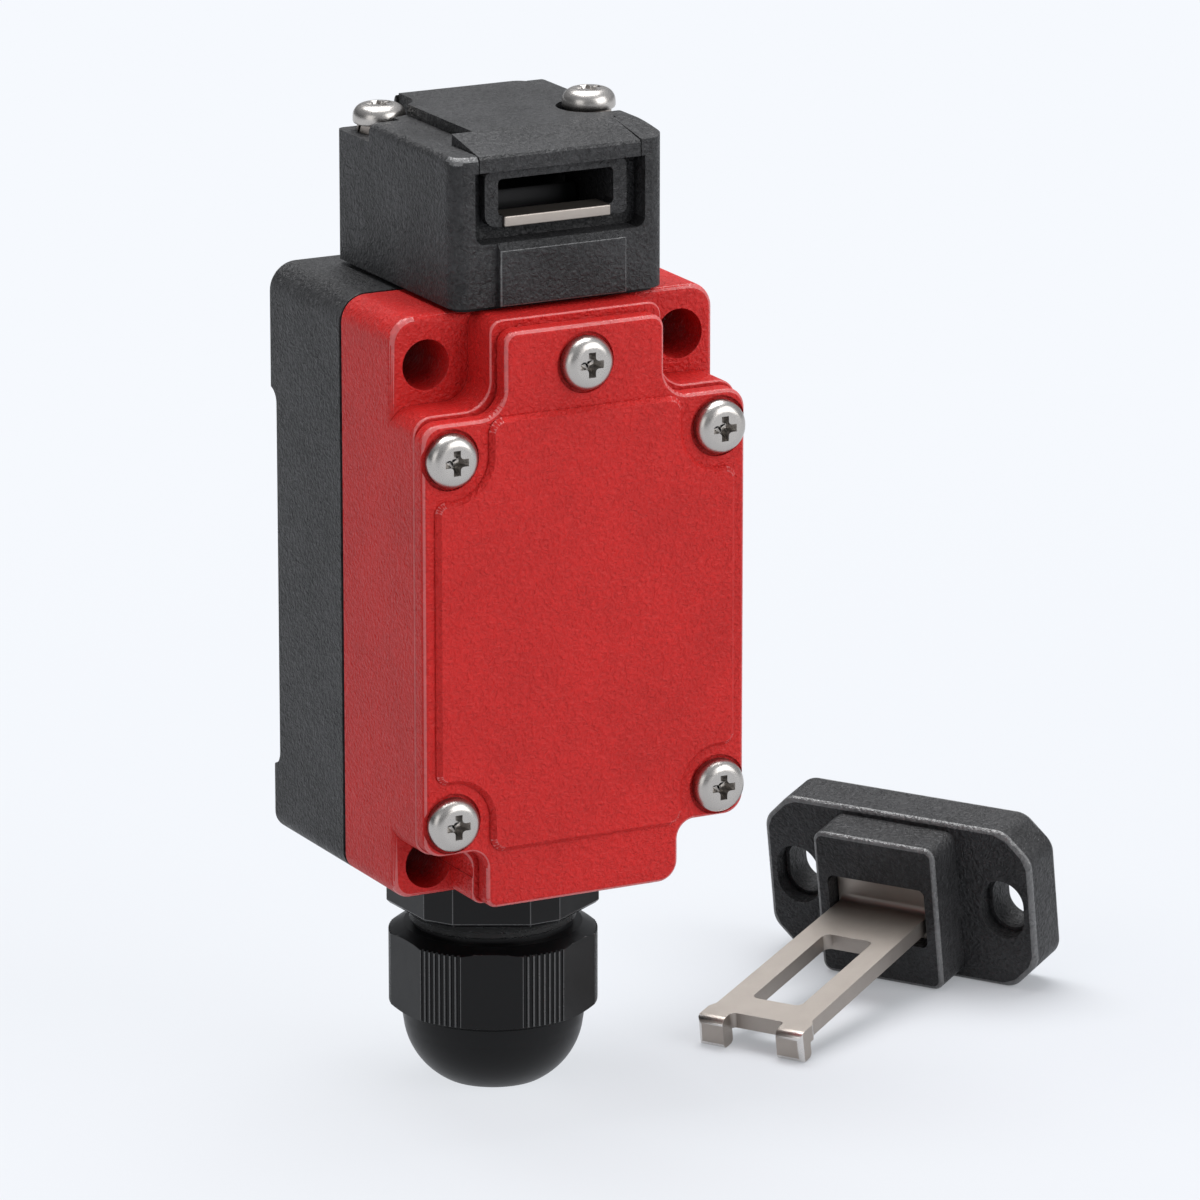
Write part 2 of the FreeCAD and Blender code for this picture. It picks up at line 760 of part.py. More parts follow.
def lip_profile(gap=0.0):
    """Section of the folded lip: a floor strip that turns down over the frame's front."""
    seat = -head_front + window_deep
    front = seat - frame_out - 0.5
    x = -lip_half - gap
    return [V(x, -head_cavity_front + 1.0, slot_low), V(x, front, slot_low), V(x, front, slot_low - lip_drop),
            V(x, front + lip_fold, slot_low - lip_drop), V(x, front + lip_fold, slot_low - lip_thick),
            V(x, -head_cavity_front + 1.0, slot_low - lip_thick), V(x, -head_cavity_front + 1.0, slot_low)]


def lip_space():
    return Part.Face(Part.makePolygon(lip_profile())).extrude(V(2 * lip_half, 0, 0))


def head_screws():
    out = []
    for (x, y), z in ((head_screw_left, notch_left_z), (head_screw_right, notch_right_z)):
        seat = V(x, y, z + washer_h)
        length = z + washer_h - head_base - 0.8
        out.append(pan_screw(seat, UP, head_screw_head_r, head_screw_head_h, head_screw_r, length))
    return out


def head_washers():
    """Split spring washers: a ring with a sloped gap."""
    out = []
    for (x, y), z in ((head_screw_left, notch_left_z), (head_screw_right, notch_right_z)):
        ring = Part.makeCylinder(washer_r, washer_h, V(x, y, z), UP)
        ring = ring.cut(Part.makeCylinder(head_screw_r + 0.1, washer_h + 2, V(x, y, z - 1), UP))
        gap = box(x - washer_r - 1, x, y - 0.25, y + 0.25, z - 1, z + washer_h + 1)
        gap.rotate(V(x, y, z + washer_h / 2), RIGHT, 25)
        out.append(ring.cut(gap))
    return out


def head_gasket():
    ring = slab(head_outline(0.9, 1.6, 0.8), body_top + 0.1, head_base)
    return cut(ring, turret_room(turret_r + 0.4, body_top - 1, head_base + 1))


# Cam, plunger and contacts

def polar(radius, angle):
    return V(0, radius * math.cos(angle), radius * math.sin(angle))


def cam_flank():
    """Flank as the inner offset of the spiral that the centre of the plunger's ball follows."""
    reach = plunger_r + plunger_gap
    slope = -lift / math.radians(cam_turn)
    flank = []
    for i in range(flank_steps + 1):
        angle = math.radians(cam_turn * i / flank_steps - 90)
        pitch = cam_r + reach - lift * i / flank_steps
        radial = polar(1, angle)
        along = polar(1, angle + math.pi / 2)
        normal = (radial * pitch - along * slope).normalize()
        flank.append(radial * pitch - normal * reach)
    return flank


def cam_outline():
    """High dwell, flank on the back side, hollow seat for the ball, low dwell, and a step back out."""
    flank = cam_flank()
    curve = Part.BSplineCurve()
    curve.interpolate(flank)
    first, last = flank[0], flank[-1]
    reach = plunger_r + plunger_gap
    low_r = cam_r - lift
    seat_angle = math.radians(cam_turn - 90)
    centre = polar(low_r + reach, seat_angle)
    seat = polar(low_r, seat_angle)
    toward = ((last - centre).normalize() + (seat - centre).normalize()).normalize()
    dwell_end = seat_angle + math.radians(low_dwell)
    start = 2 * math.pi + math.atan2(first.z, first.y)
    edges = [curve.toShape(), Part.Arc(last, centre + toward * reach, seat).toShape(),
             Part.Arc(seat, polar(low_r, (seat_angle + dwell_end) / 2), polar(low_r, dwell_end)).toShape(),
             Part.LineSegment(polar(low_r, dwell_end), polar(cam_r, dwell_end)).toShape(),
             Part.Arc(polar(cam_r, dwell_end), polar(cam_r, (dwell_end + start) / 2), first).toShape()]
    return Part.Wire(Part.__sortEdges__(edges))


def cam_wheel():
    """Disc cam with a notch that takes the key's hooks."""
    core = Part.Face(cam_outline()).extrude(V(2 * cam_half, 0, 0))
    core.translate(V(-cam_half, 0, 0))
    notch = box(-cam_half - 1, cam_half + 1, -hook_notch_w / 2, hook_notch_w / 2, hook_notch_floor, cam_r + 3)
    notch.rotate(V(0, 0, 0), RIGHT, notch_turn)
    bore = rod(axle_r + run_gap, V(-cam_half - 1, 0, 0), V(cam_half + 1, 0, 0))
    core = cut(core, notch, bore)
    core.translate(V(0, cam_y, cam_z))
    return core


def cam_axle():
    """Pin laid in two open bearing slots in the cavity's side walls."""
    return rod(axle_r, V(-axle_half, cam_y, cam_z), V(axle_half, cam_y, cam_z))


def plunger():
    tip = cam_z - cam_r - plunger_gap
    ball = Part.makeSphere(plunger_r, V(0, axis_y, tip - plunger_r))
    stem = rod(plunger_r, V(0, axis_y, plunger_end), V(0, axis_y, tip - plunger_r))
    collar = rod(turret_bore_r - collar_gap, V(0, axis_y, plunger_end), V(0, axis_y, plunger_end + collar_h))
    return fuse(stem, ball, collar)


def plunger_seal():
    """Rubber seal ring round the plunger, at the head of its room in the turret."""
    z = turret_flange_low + seal_room_h - seal_ring_h
    ring = Part.makeCylinder(turret_bore_r - 0.05, seal_ring_h - 0.05, V(0, axis_y, z), UP)
    return ring.cut(Part.makeCylinder(plunger_r + 0.1, 4, V(0, axis_y, z - 1), UP))


carrier_top = plunger_end - 0.3
carrier_low = bridge_low_z - 2.5


def block_posts():
    """Two bosses in the rear half that the contact block is screwed to."""
    return [rod(post_r, V(x, -back_wall + 0.5, z), V(x, -block_back, z)) for x, z in block_screw_points()]


def block_screw_points():
    middle = (upper_fixed_z + tip_h + strip_h - terminal_h + lower_fixed_z - tip_h + terminal_h - strip_h) / 2
    return [(sx * (block_half - block_screw_edge), middle) for sx in (-1, 1)]


def block_screw_bores():
    return [rod(block_screw_r, V(x, -back_wall - block_screw_grip + bore_end, z), V(x, -block_front, z))
            for x, z in block_screw_points()]


def block_screws():
    seat = -block_front + block_screw_sink
    reach = -seat - back_wall - block_screw_grip
    return [pan_screw(V(x, seat, z), FRONT, block_screw_head_r, block_screw_head_h, block_screw_r, reach)
            for x, z in block_screw_points()]


def bridge(z, tips_up):
    """A moving contact strip with a silver tip near each end."""
    bar = box(-bridge_half, bridge_half, axis_y - bridge_w / 2, axis_y + bridge_w / 2, z, z + bridge_h)
    for sx in (-1, 1):
        x = sx * (bridge_half - tip_r - tip_inset)
        if tips_up:
            tip = rod(tip_r, V(x, axis_y, z + bridge_h), V(x, axis_y, z + bridge_h + tip_h))
        else:
            tip = rod(tip_r, V(x, axis_y, z - tip_h), V(x, axis_y, z))
        bar = bar.fuse(tip)
    return bar.removeSplitter()


upper_fixed_z = bridge_up_z + bridge_h + tip_h + lift + contact_rest_gap
lower_fixed_z = bridge_low_z - tip_h - contact_rest_gap


def fixed_contact(sx, upper):
    """A fixed contact: tip, strip to the front and terminal plate, on one side."""
    x_tip = sx * (bridge_half - tip_r - tip_inset)
    if upper:
        z0 = upper_fixed_z + tip_h
        tip = rod(tip_r, V(x_tip, axis_y, upper_fixed_z), V(x_tip, axis_y, z0))
        plate_z0, plate_z1 = z0 + strip_h - terminal_h, z0 + strip_h
    else:
        z0 = lower_fixed_z - tip_h - strip_h
        tip = rod(tip_r, V(x_tip, axis_y, z0 + strip_h), V(x_tip, axis_y, lower_fixed_z))
        plate_z0, plate_z1 = z0, z0 + terminal_h
    xs = sorted((sx * (bridge_half - 2 * tip_r - 2 * tip_inset), sx * (terminal_x + terminal_half)))
    strip = box(xs[0], xs[1], -block_front, axis_y + 2.0, z0, z0 + strip_h)
    xt = sorted((sx * (terminal_x - terminal_half), sx * (terminal_x + terminal_half)))
    plate = box(xt[0], xt[1], -block_front - terminal_plate, -block_front, plate_z0, plate_z1)
    shape = fuse(strip, plate, tip)
    z_screw = (plate_z0 + plate_z1) / 2 - (0.5 if upper else -0.5)
    hole = rod(terminal_screw_r, V(sx * terminal_x, -block_front - 2, z_screw),
               V(sx * terminal_x, -block_front + 0.01, z_screw))
    return cut(shape, hole), z_screw


def terminals():
    return [(sx, upper) + fixed_contact(sx, upper) for sx in (-1, 1) for upper in (False, True)]


def terminal_screws():
    out = []
    for sx, upper, shape, z in terminals():
        seat = -block_front - terminal_plate
        out.append(pan_screw(V(sx * terminal_x, seat, z), FRONT, terminal_head_r, terminal_head_h,
                             terminal_screw_r, terminal_screw_len))
    return out


def contact_block():
    shape = box(-block_half, block_half, -block_front, -block_back, block_low, block_top)
    shape = soften(shape, block_round, lambda e: e.BoundBox.YLength > block_front - block_back - 0.1)
    channel = box(-channel_half, channel_half, axis_y - channel_deep, axis_y + channel_deep,
                  block_low + block_floor, block_top + 1)
    wide = bridge_w / 2 + room_gap
    long = bridge_half + room_gap
    rooms = []
    for z0, z1 in ((bridge_up_z - room_gap, upper_fixed_z + tip_h),
                   (lower_fixed_z - tip_h, bridge_low_z + bridge_h + lift + room_gap)):
        rooms.append(box(-long, long, axis_y - wide, axis_y + wide, z0, z1))
    shape = cut(shape, channel, *rooms)
    bore_low = -block_front - terminal_plate + terminal_screw_len + bore_end
    for sx, upper, metal, z in terminals():
        x = sx * terminal_x
        shape = cut(shape, metal, rod(terminal_screw_r, V(x, -block_front - 2, z), V(x, bore_low, z)))
    radius = block_screw_head_r + slide_gap
    sinks = [rod(radius, V(x, -block_front - 1, z), V(x, -block_front + block_screw_sink, z))
             for x, z in block_screw_points()]
    return cut(shape, *sinks, *block_screw_bores())


def contact_carrier():
    """Moulded slide that carries both bridges, pushed down by the plunger."""
    w = channel_half - slide_gap
    d = channel_deep - slide_gap
    body = box(-w, w, axis_y - d, axis_y + d, carrier_low, block_top + 1.5)
    neck = rod(w, V(0, axis_y, block_top + 1.0), V(0, axis_y, carrier_top))
    body = fuse(body, neck)
    up = box(-w - 1, w + 1, axis_y - bridge_w / 2 - 0.1, axis_y + bridge_w / 2 + 0.1,
             bridge_up_z - contact_spring_h, bridge_up_z + bridge_h)
    low = box(-w - 1, w + 1, axis_y - bridge_w / 2 - 0.1, axis_y + bridge_w / 2 + 0.1,
              bridge_low_z, bridge_low_z + bridge_h + contact_spring_h)
    return cut(body, up, low)


def coil(radius, wire, z0, z1, turns):
    """A coil spring about the plunger's axis: eight-sided wire lofted through stations along a helix."""
    stations = []
    count = coil_stations * turns
    rise = z1 - z0 - wire
    for i in range(count + 1):
        ring = []
        for k in range(9):
            side = math.radians(45 * k + 22.5)
            reach = radius + wire / 2 * math.cos(side)
            ring.append(V(reach, 0, wire / 2 * math.sin(side)))
        station = Part.makePolygon(ring)
        station.rotate(V(0, 0, 0), UP, 360.0 * turns * i / count)
        station.translate(V(0, axis_y, z0 + wire / 2 + rise * i / count))
        stations.append(station)
    return Part.makeLoft(stations, True, True)


def contact_springs():
    up = coil(contact_spring_r, contact_wire, bridge_up_z - contact_spring_h, bridge_up_z, 3)
    low_seat = bridge_low_z + bridge_h
    low = coil(contact_spring_r, contact_wire, low_seat, low_seat + contact_spring_h, 3)
    return up, low


def return_spring():
    return coil(return_spring_r, return_wire, block_low + block_floor, carrier_low, 3)


# Cable gland

def hexagon(af, z0, z1, spin):
    """A hexagonal prism about the gland's axis."""
    ring = []
    radius = af / 2 / math.cos(math.pi / 6)
    for i in range(7):
        a = math.radians(60 * i + spin)
        ring.append(V(radius * math.cos(a), gland_y + radius * math.sin(a), z0))
    return Part.Face(Part.makePolygon(ring)).extrude(V(0, 0, z1 - z0))


def turned_ends(corner, chamfer, z0, z1):
    """A bar with chamfered ends about the gland's axis, which turns off the corners of a hexagon."""
    narrow = corner - 2 * chamfer
    profile = [V(0, 0, z0), V(narrow, 0, z0), V(corner, 0, z0 + chamfer), V(corner, 0, z1 - chamfer),
               V(narrow, 0, z1), V(0, 0, z1), V(0, 0, z0)]
    bar = Part.Face(Part.makePolygon(profile)).revolve(V(0, 0, 0), UP, 360)
    bar.translate(V(0, gland_y, 0))
    return bar


facet_spin = -27.5         # a flat of the hexagons squarely faces the left front
seal_low = body_bottom - gland_seal_h
hex_low = seal_low - gland_hex_h
cage_top = nut_top - 4.0
insert_top = cage_top - 1.0 - insert_gap
cage_low = nut_top - nut_flat_h - cage_over


def gland_body():
    """Threaded neck through the wall, hexagon outside, threaded barrel for the dome nut."""
    neck = rod(entry_r, V(0, gland_y, seal_low), V(0, gland_y, body_inside + locknut_h + thread_over))
    collar = hexagon(gland_af, hex_low, seal_low, facet_spin)
    collar = collar.common(hexagon(2 * gland_corner, hex_low, seal_low, facet_spin + 30))
    collar = collar.makeChamfer(gland_chamfer / 2, [e for e in collar.Edges if on_plane(e, "z", hex_low)])
    barrel = rod(gland_thread_r, V(0, gland_y, cage_top - 1.0), V(0, gland_y, hex_low))
    bore = rod(insert_r, V(0, gland_y, cage_top - 2), V(0, gland_y, body_inside + 10))
    return cut(fuse(neck, collar, barrel), bore)


def ring_about_gland(outer, inner, z0, z1):
    ring = Part.makeCylinder(outer, z1 - z0, V(0, gland_y, z0), UP)
    return ring.cut(Part.makeCylinder(inner, z1 - z0 + 2, V(0, gland_y, z0 - 1), UP))


def gland_seal():
    return ring_about_gland(gland_seal_r, entry_r + insert_gap, seal_low, body_bottom)


def gland_locknut():
    top = body_inside + locknut_h
    nut = ring_about_gland(locknut_r, entry_r + locknut_gap, body_inside, top)
    deep = locknut_notch
    for i in range(8):
        notch = box(locknut_r - deep, locknut_r + 1, -deep, deep, body_inside - 1, top + 1)
        notch.rotate(V(0, 0, 0), UP, 45 * i)
        notch.translate(V(0, gland_y, 0))
        nut = nut.cut(notch)
    return nut


def gland_cage():
    """Clamping cage: a ring whose fingers close on the cable as the nut is tightened."""
    ring = ring_about_gland(cage_r, cage_bore_r, cage_low, insert_top)
    for i in range(cage_fingers):
        gap = box(cage_bore_r - 1, cage_r + 1, -0.35, 0.35, cage_low - 1, insert_top - 1.5)
        gap.rotate(V(0, 0, 0), UP, 360 / cage_fingers * i)
        gap.translate(V(0, gland_y, 0))
        ring = ring.cut(gap)
    return ring


def gland_insert():
    return ring_about_gland(insert_r, cable_hole_r, cage_low - insert_lip, insert_top)


def gland_nut():
    """Dome nut: six wide flats, a ribbed grip on each corner, and a domed end with the cable hole."""
    flat_low = nut_top - nut_flat_h
    prism_body = hexagon(gland_af, flat_low, nut_top, facet_spin)
    prism_body = prism_body.common(turned_ends(gland_corner_r, gland_chamfer, flat_low, nut_top))
    grooves = []
    for corner in range(6):
        for i in range(nut_ribs):
            a = math.radians(60 * corner + facet_spin + (i - (nut_ribs - 1) / 2) * rib_turn)
            x = gland_corner_r * math.cos(a)
            y = gland_y + gland_corner_r * math.sin(a)
            grooves.append(rod(rib_groove, V(x, y, flat_low), V(x, y, nut_top + 1)))
    prism_body = cut(prism_body, *grooves)
    ends = [V(0, 0, flat_low + 1.0), V(dome_r, 0, flat_low + 1.0), V(dome_r, 0, flat_low - 1.0),
            V(dome_r * 0.98, 0, flat_low - 2.4)]
    profile = Part.Wire([Part.LineSegment(ends[0], ends[1]).toShape(),
                         Part.LineSegment(ends[1], ends[2]).toShape(),
                         Part.LineSegment(ends[2], ends[3]).toShape(),
                         Part.Arc(ends[3], V(dome_r * 0.86, 0, (flat_low + dome_low) / 2 - 1.3),
                                  V(dome_foot_r, 0, dome_low)).toShape(),
                         Part.LineSegment(V(dome_foot_r, 0, dome_low), V(0, 0, dome_low)).toShape(),
                         Part.LineSegment(V(0, 0, dome_low), ends[0]).toShape()])
    dome = Part.Face(profile).revolve(V(0, 0, 0), UP, 360)
    dome.translate(V(0, gland_y, 0))
    shape = prism_body.fuse(dome)
    thread_room = rod(gland_thread_r + locknut_gap, V(0, gland_y, cage_top - 1.0), V(0, gland_y, nut_top + 1))
    cage_room = rod(cage_r + insert_gap, V(0, gland_y, cage_low), V(0, gland_y, nut_top))
    insert_room = rod(insert_r + insert_gap, V(0, gland_y, cage_low - insert_lip), V(0, gland_y, cage_low + 1))
    hole = rod(cable_mouth_r, V(0, gland_y, dome_low - 1), V(0, gland_y, nut_top))
    return cut(shape, thread_room, cage_room, insert_room, hole)


# Actuator

boss_low = (plate_h - boss_h) / 2
pocket_low = boss_low + pocket_z
tongue_z = pocket_low + tongue_over
act_pitch = math.degrees(math.atan2(tongue_z - (hook_drop - tongue_t), boss_out + tongue_len))


def place_actuator(shape):
    """Lean the actuator on its hook tips and the plate's lower edge, then set it on the floor."""
    turned = shape.copy()
    turned.rotate(V(0, 0, 0), RIGHT, act_pitch)
    turned.rotate(V(0, 0, 0), UP, act_yaw)
    turned.translate(V(act_x, act_y, dome_low))
    return turned


def actuator_base():
    w = plate_w / 2
    c = plate_chamfer
    pts = [(w, plate_h, 0), (w, 0, 0), (-w, 0, 0), (-w, plate_h, 0)]
    plate = prism(pts, plate_t, 0)
    corners = [e for e in plate.Edges if e.BoundBox.YLength > plate_t - 0.1]
    plate = plate.makeChamfer(c, corners)
    plate = soften(plate, plate_soft, lambda e: on_plane(e, "y", 0) or on_plane(e, "y", plate_t))
    b = boss_w / 2
    r = boss_round
    boss_top = boss_low + boss_h
    boss = prism([(b, boss_top, r), (b, boss_low, r), (-b, boss_low, r), (-b, boss_top, r)], 1, -boss_out)
    boss = soften(boss, 0.5, lambda e: on_plane(e, "y", -boss_out))
    shape = fuse(plate, boss)
    p = pocket_w / 2
    r = pocket_round
    pocket_top = pocket_low + pocket_h
    pocket = prism([(p, pocket_top, r), (p, pocket_low, r), (-p, pocket_low, r), (-p, pocket_top, r)],
                   -boss_out + pocket_deep, -boss_out - 1)
    shape = cut(shape, pocket)
    for sx in (-1, 1):
        x = sx * plate_hole_dx / 2
        wide = slot_hole(x, plate_h / 2, plate_slot_w, plate_slot_len, plate_slot_deep, -1)
        through = slot_hole(x, plate_h / 2, plate_slot_w - 2 * plate_step, plate_slot_len - 2 * plate_step,
                            plate_t + 1, -1)
        shape = cut(shape, wide, through)
    return cut(shape, *rivet_shanks(plate_t + 1))


def rivet_points():
    return [(sx * rivet_x, (tongue_z + tongue_t + pocket_low + pocket_h) / 2) for sx in (-1, 1)]


def rivet_shanks(depth):
    return [rod(rivet_r, V(x, -boss_out, z), V(x, depth, z)) for x, z in rivet_points()]


def tongue_rivets():
    """Two countersunk rivets, flush with the tongue's flange, that hold it to the base."""
    front = -boss_out + pocket_deep - tongue_t
    return [rod(rivet_r, V(x, front, z), V(x, plate_t, z)) for x, z in rivet_points()]


def tongue_blade():
    """Windowed blade with a notch between two hooks that are bent down at its end."""
    back = -boss_out + pocket_deep
    tip = -boss_out - tongue_len
    top = tongue_z + tongue_t
    hook_low = top - hook_drop
    w = tongue_w / 2
    end = tongue_w_end / 2
    h = hook_w / 2
    inner = tongue_slot_w / 2 + 0.3
    shape = box(-h, h, tip, back, tongue_z, top)
    for x0, x1 in ((-h, -inner), (inner, h)):
        hook = box(x0, x1, tip, tip + hook_t, hook_low, top)
        hook = hook.makeFillet(hook_soft, [e for e in hook.Edges if on_plane(e, "z", hook_low)
                                           and e.BoundBox.XLength > 1])
        shape = shape.fuse(hook)
    shape = shape.removeSplitter()
    bends = [e for e in shape.Edges if on_plane(e, "y", tip) and on_plane(e, "z", top)]
    shape = shape.makeFillet(bend_out_r, bends)
    start = tip + hook_len
    plan = [(w, back, 0), (end, start + hook_taper, 0.5), (h, start, 0.4), (h, tip, hook_soft),
            (-h, tip, hook_soft), (-h, start, 0.4), (-end, start + hook_taper, 0.5), (-w, back, 0)]
    shape = shape.common(slab(plan, hook_low - 1, top + 1))
    s = tongue_slot_w / 2
    near = -boss_out - tongue_slot_from
    far = near - tongue_slot_len
    window = slab([(s, near, 0.9), (s, far, 0.9), (-s, far, 0.9), (-s, near, 0.9)], tongue_z - 1, top + 1)
    stop = tip + tongue_notch
    notch = slab([(inner, stop, 0.7), (inner, tip - 2, 0), (-inner, tip - 2, 0), (-inner, stop, 0.7)],
                 tongue_z - 5, top + 1)
    return cut(shape, window, notch)


def actuator_tongue():
    """Steel key: its flange fills the pocket, and the blade stands square to it over a hollow bend."""
    back = -boss_out + pocket_deep
    face = back - tongue_t
    top = tongue_z + tongue_t
    p = pocket_w / 2 - flange_gap
    r = pocket_round
    low = pocket_low + flange_gap
    high = pocket_low + pocket_h - flange_gap
    flange = prism([(p, high, r), (p, low, r), (-p, low, r), (-p, high, r)], back, face)
    w = tongue_w / 2
    bend = box(-w, w, face - bend_r, face, top, top + bend_r)
    hollow = rod(bend_r, V(-w - 1, face - bend_r, top + bend_r), V(w + 1, face - bend_r, top + bend_r))
    return cut(fuse(tongue_blade(), flange, bend.cut(hollow)), *rivet_shanks(plate_t))


def build():
    save("rear_housing", rear_housing())
    save("body_seal", body_seal())
    save("front_housing", front_housing())
    save("body_screws", *body_screws())
    save("cover_seal", cover_seal())
    save("cover", cover())
    save("cover_screws", *cover_screws())
    save("turret", turret())
    save("head_gasket", head_gasket())
    save("head_housing", head_housing())
    save("head_cap", head_cap())
    save("slot_frame", slot_frame())
    save("slot_lip", lip_space())
    save("head_screws", *head_screws())
    save("head_spring_washers", *head_washers())
    save("cam_wheel", cam_wheel())
    save("cam_axle", cam_axle())
    save("plunger", plunger())
    save("plunger_seal", plunger_seal())
    save("contact_block", contact_block())
    save("block_screws", *block_screws())
    save("contact_carrier", contact_carrier())
    save("upper_bridge", bridge(bridge_up_z, True))
    save("lower_bridge", bridge(bridge_low_z, False))
    upper, lower = contact_springs()
    save("upper_contact_spring", upper)
    save("lower_contact_spring", lower)
    save("return_spring", return_spring())
    save("fixed_contacts", *[item[2] for item in terminals()])
    save("terminal_screws", *terminal_screws())
    save("gland_body", gland_body())
    save("gland_seal", gland_seal())
    save("gland_locknut", gland_locknut())
    save("gland_cage", gland_cage())
    save("gland_insert", gland_insert())
    save("gland_nut", gland_nut())
    save("actuator_base", place_actuator(actuator_base()))
    save("actuator_tongue", place_actuator(actuator_tongue()))
    save("tongue_rivets", *[place_actuator(r) for r in tongue_rivets()])


build()
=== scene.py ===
import math

import bmesh
import bpy
from mathutils import Matrix, Vector


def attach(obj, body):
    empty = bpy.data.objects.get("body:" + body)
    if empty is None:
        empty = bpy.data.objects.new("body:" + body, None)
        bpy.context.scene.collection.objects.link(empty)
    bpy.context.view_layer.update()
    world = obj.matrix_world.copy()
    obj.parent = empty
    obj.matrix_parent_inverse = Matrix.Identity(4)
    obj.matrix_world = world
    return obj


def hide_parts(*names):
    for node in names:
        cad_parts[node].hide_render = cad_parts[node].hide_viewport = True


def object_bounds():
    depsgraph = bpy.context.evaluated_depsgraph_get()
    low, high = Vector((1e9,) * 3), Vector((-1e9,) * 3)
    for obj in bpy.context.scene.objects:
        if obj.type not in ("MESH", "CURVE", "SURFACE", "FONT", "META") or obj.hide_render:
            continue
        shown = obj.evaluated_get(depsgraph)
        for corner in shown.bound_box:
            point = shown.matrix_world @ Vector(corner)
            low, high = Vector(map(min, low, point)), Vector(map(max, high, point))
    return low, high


# Looks of a tongue interlock switch and its separate actuator, in metres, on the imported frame.

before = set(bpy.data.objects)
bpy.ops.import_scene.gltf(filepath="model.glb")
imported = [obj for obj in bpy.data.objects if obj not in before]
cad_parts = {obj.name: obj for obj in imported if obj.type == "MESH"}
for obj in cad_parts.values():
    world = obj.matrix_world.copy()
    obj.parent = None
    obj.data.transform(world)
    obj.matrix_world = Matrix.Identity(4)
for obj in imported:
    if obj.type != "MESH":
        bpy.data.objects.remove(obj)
cad_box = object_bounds()

bl_info = {
    "name": "Tongue interlock switch",
    "version": (1, 0, 0),
    "blender": (4, 5, 0),
    "location": "View3D > Sidebar > Switch",
    "description": "Dresses a tongue interlock switch and its actuator with moulded and metal finishes",
    "category": "Object",
}

MM = 0.001

# Vertices of a CAD node closer than this are one, and faces that turn less than this are one flat face
MERGED_WITHIN = 0.0005 * MM
FLAT_WITHIN = math.radians(0.4)

# A face smaller than this, in square metres, counts as this large when its bend is worked out
SMALLEST_AREA = 1e-12

# Edges that turn more than this are sharp: mouldings, roof piece, gland, then screws and threads
SHARP_MOULDING = math.radians(38)
SHARP_ROOF = math.radians(11)
SHARP_GLAND = math.radians(15)
SHARP_SCREW = math.radians(35)

# Rounds tighter than these get a painted highlight outside, lighter and glossier, and painted shade inside,
# darker and duller
HIGHLIT_EDGE_RADIUS = 0.85 * MM
SHADED_DUSTY_CREASE_RADIUS = 1.2 * MM

# A highlit crest faces at least this far off the three main directions
CREST_TILT = math.radians(28)


def linear(hex_colour):
    """An sRGB hex colour as linear red, green and blue."""
    parts = [int(hex_colour[i:i + 2], 16) / 255 for i in (0, 2, 4)]
    return [p / 12.92 if p <= 0.04045 else ((p + 0.055) / 1.055) ** 2.4 for p in parts]


def colour(name, description, hex_colour):
    return bpy.props.FloatVectorProperty(name=name, description=description, subtype="COLOR", size=3,
                                         min=0.0, max=1.0, default=linear(hex_colour))


def length(name, description, millimetres):
    return bpy.props.FloatProperty(name=name, description=description, unit="LENGTH", min=0.0,
                                   precision=5, default=millimetres * MM)


class SwitchColours(bpy.types.PropertyGroup):
    shell_red: colour("Red shell", "Moulded front half and cover", "BA211F")
    shell_dark: colour("Dark shell", "Rear half, head and actuator base", "2B2B2C")
    gland_black: colour("Gland", "Polyamide of the cable gland", "0B0B0C")
    seal_black: colour("Seals", "Nitrile rubber of seals and gaskets", "0C0C0D")
    nickel: colour("Nickel plate", "Tongue, slot lip, rivets and spring washers", "A39B94")
    stainless: colour("Stainless steel", "Screws and springs", "B6B2AE")
    phosphate: colour("Phosphated steel", "Cam, its pin and the plunger", "2A2A2B")
    block_cream: colour("Contact block", "Melamine of the contact block", "D9D2BC")
    carrier_grey: colour("Contact carrier", "Acetal of the moving carrier", "8B8D8E")
    contact_brass: colour("Contacts", "Brass strips and terminals", "C79A4C")


class SwitchFinish(bpy.types.PropertyGroup):
    grain: length("Grain", "Width of one fold of the moulded shells' leather grain", 0.66)
    grain_height: length("Grain height", "Height of the moulded grain", 0.3)
    steel_line: length("Brush line", "Spacing of the fine lines on metal, coarser than real to show", 0.09)
    edge_round: length("Edge round", "Radius that breaks the moulded edges", 0.26)
    metal_round: length("Metal edge round", "Radius that breaks the edges of stamped metal", 0.2)
    plate_round: length("Plate corner round", "Radius at the ends of the actuator's cut corners", 2.4)
    rib_round: length("Rib round", "Radius that breaks the edges of the gland", 0.07)


class SwitchScrews(bpy.types.PropertyGroup):
    cover_head: length("Cover screw head", "Radius of the cover screws' pan heads", 3.2)
    cover_crown: length("Cover screw crown", "Height of the cover screws' pan heads", 2.1)
    top_head: length("Head screw head", "Radius of the two pan heads on the head", 3.15)
    top_crown: length("Head screw crown", "Height of the two pan heads on the head", 2.3)
    shank: length("Cover screw shank", "Radius of the cover screws' shanks", 1.5)
    top_shank: length("Head screw shank", "Radius of the head screws' shanks", 1.4)
    reach: length("Recess reach", "Half the span of the cross recess", 1.72)
    arm: length("Recess arm", "Width of one arm of the cross recess", 1.05)
    deep: length("Recess depth", "Depth of the cross recess", 1.45)


class SwitchGland(bpy.types.PropertyGroup):
    pitch: length("Thread pitch", "Pitch of the clamping thread", 0.75)
    turn_height: length("Thread height", "Height of one turn over the core", 0.45)


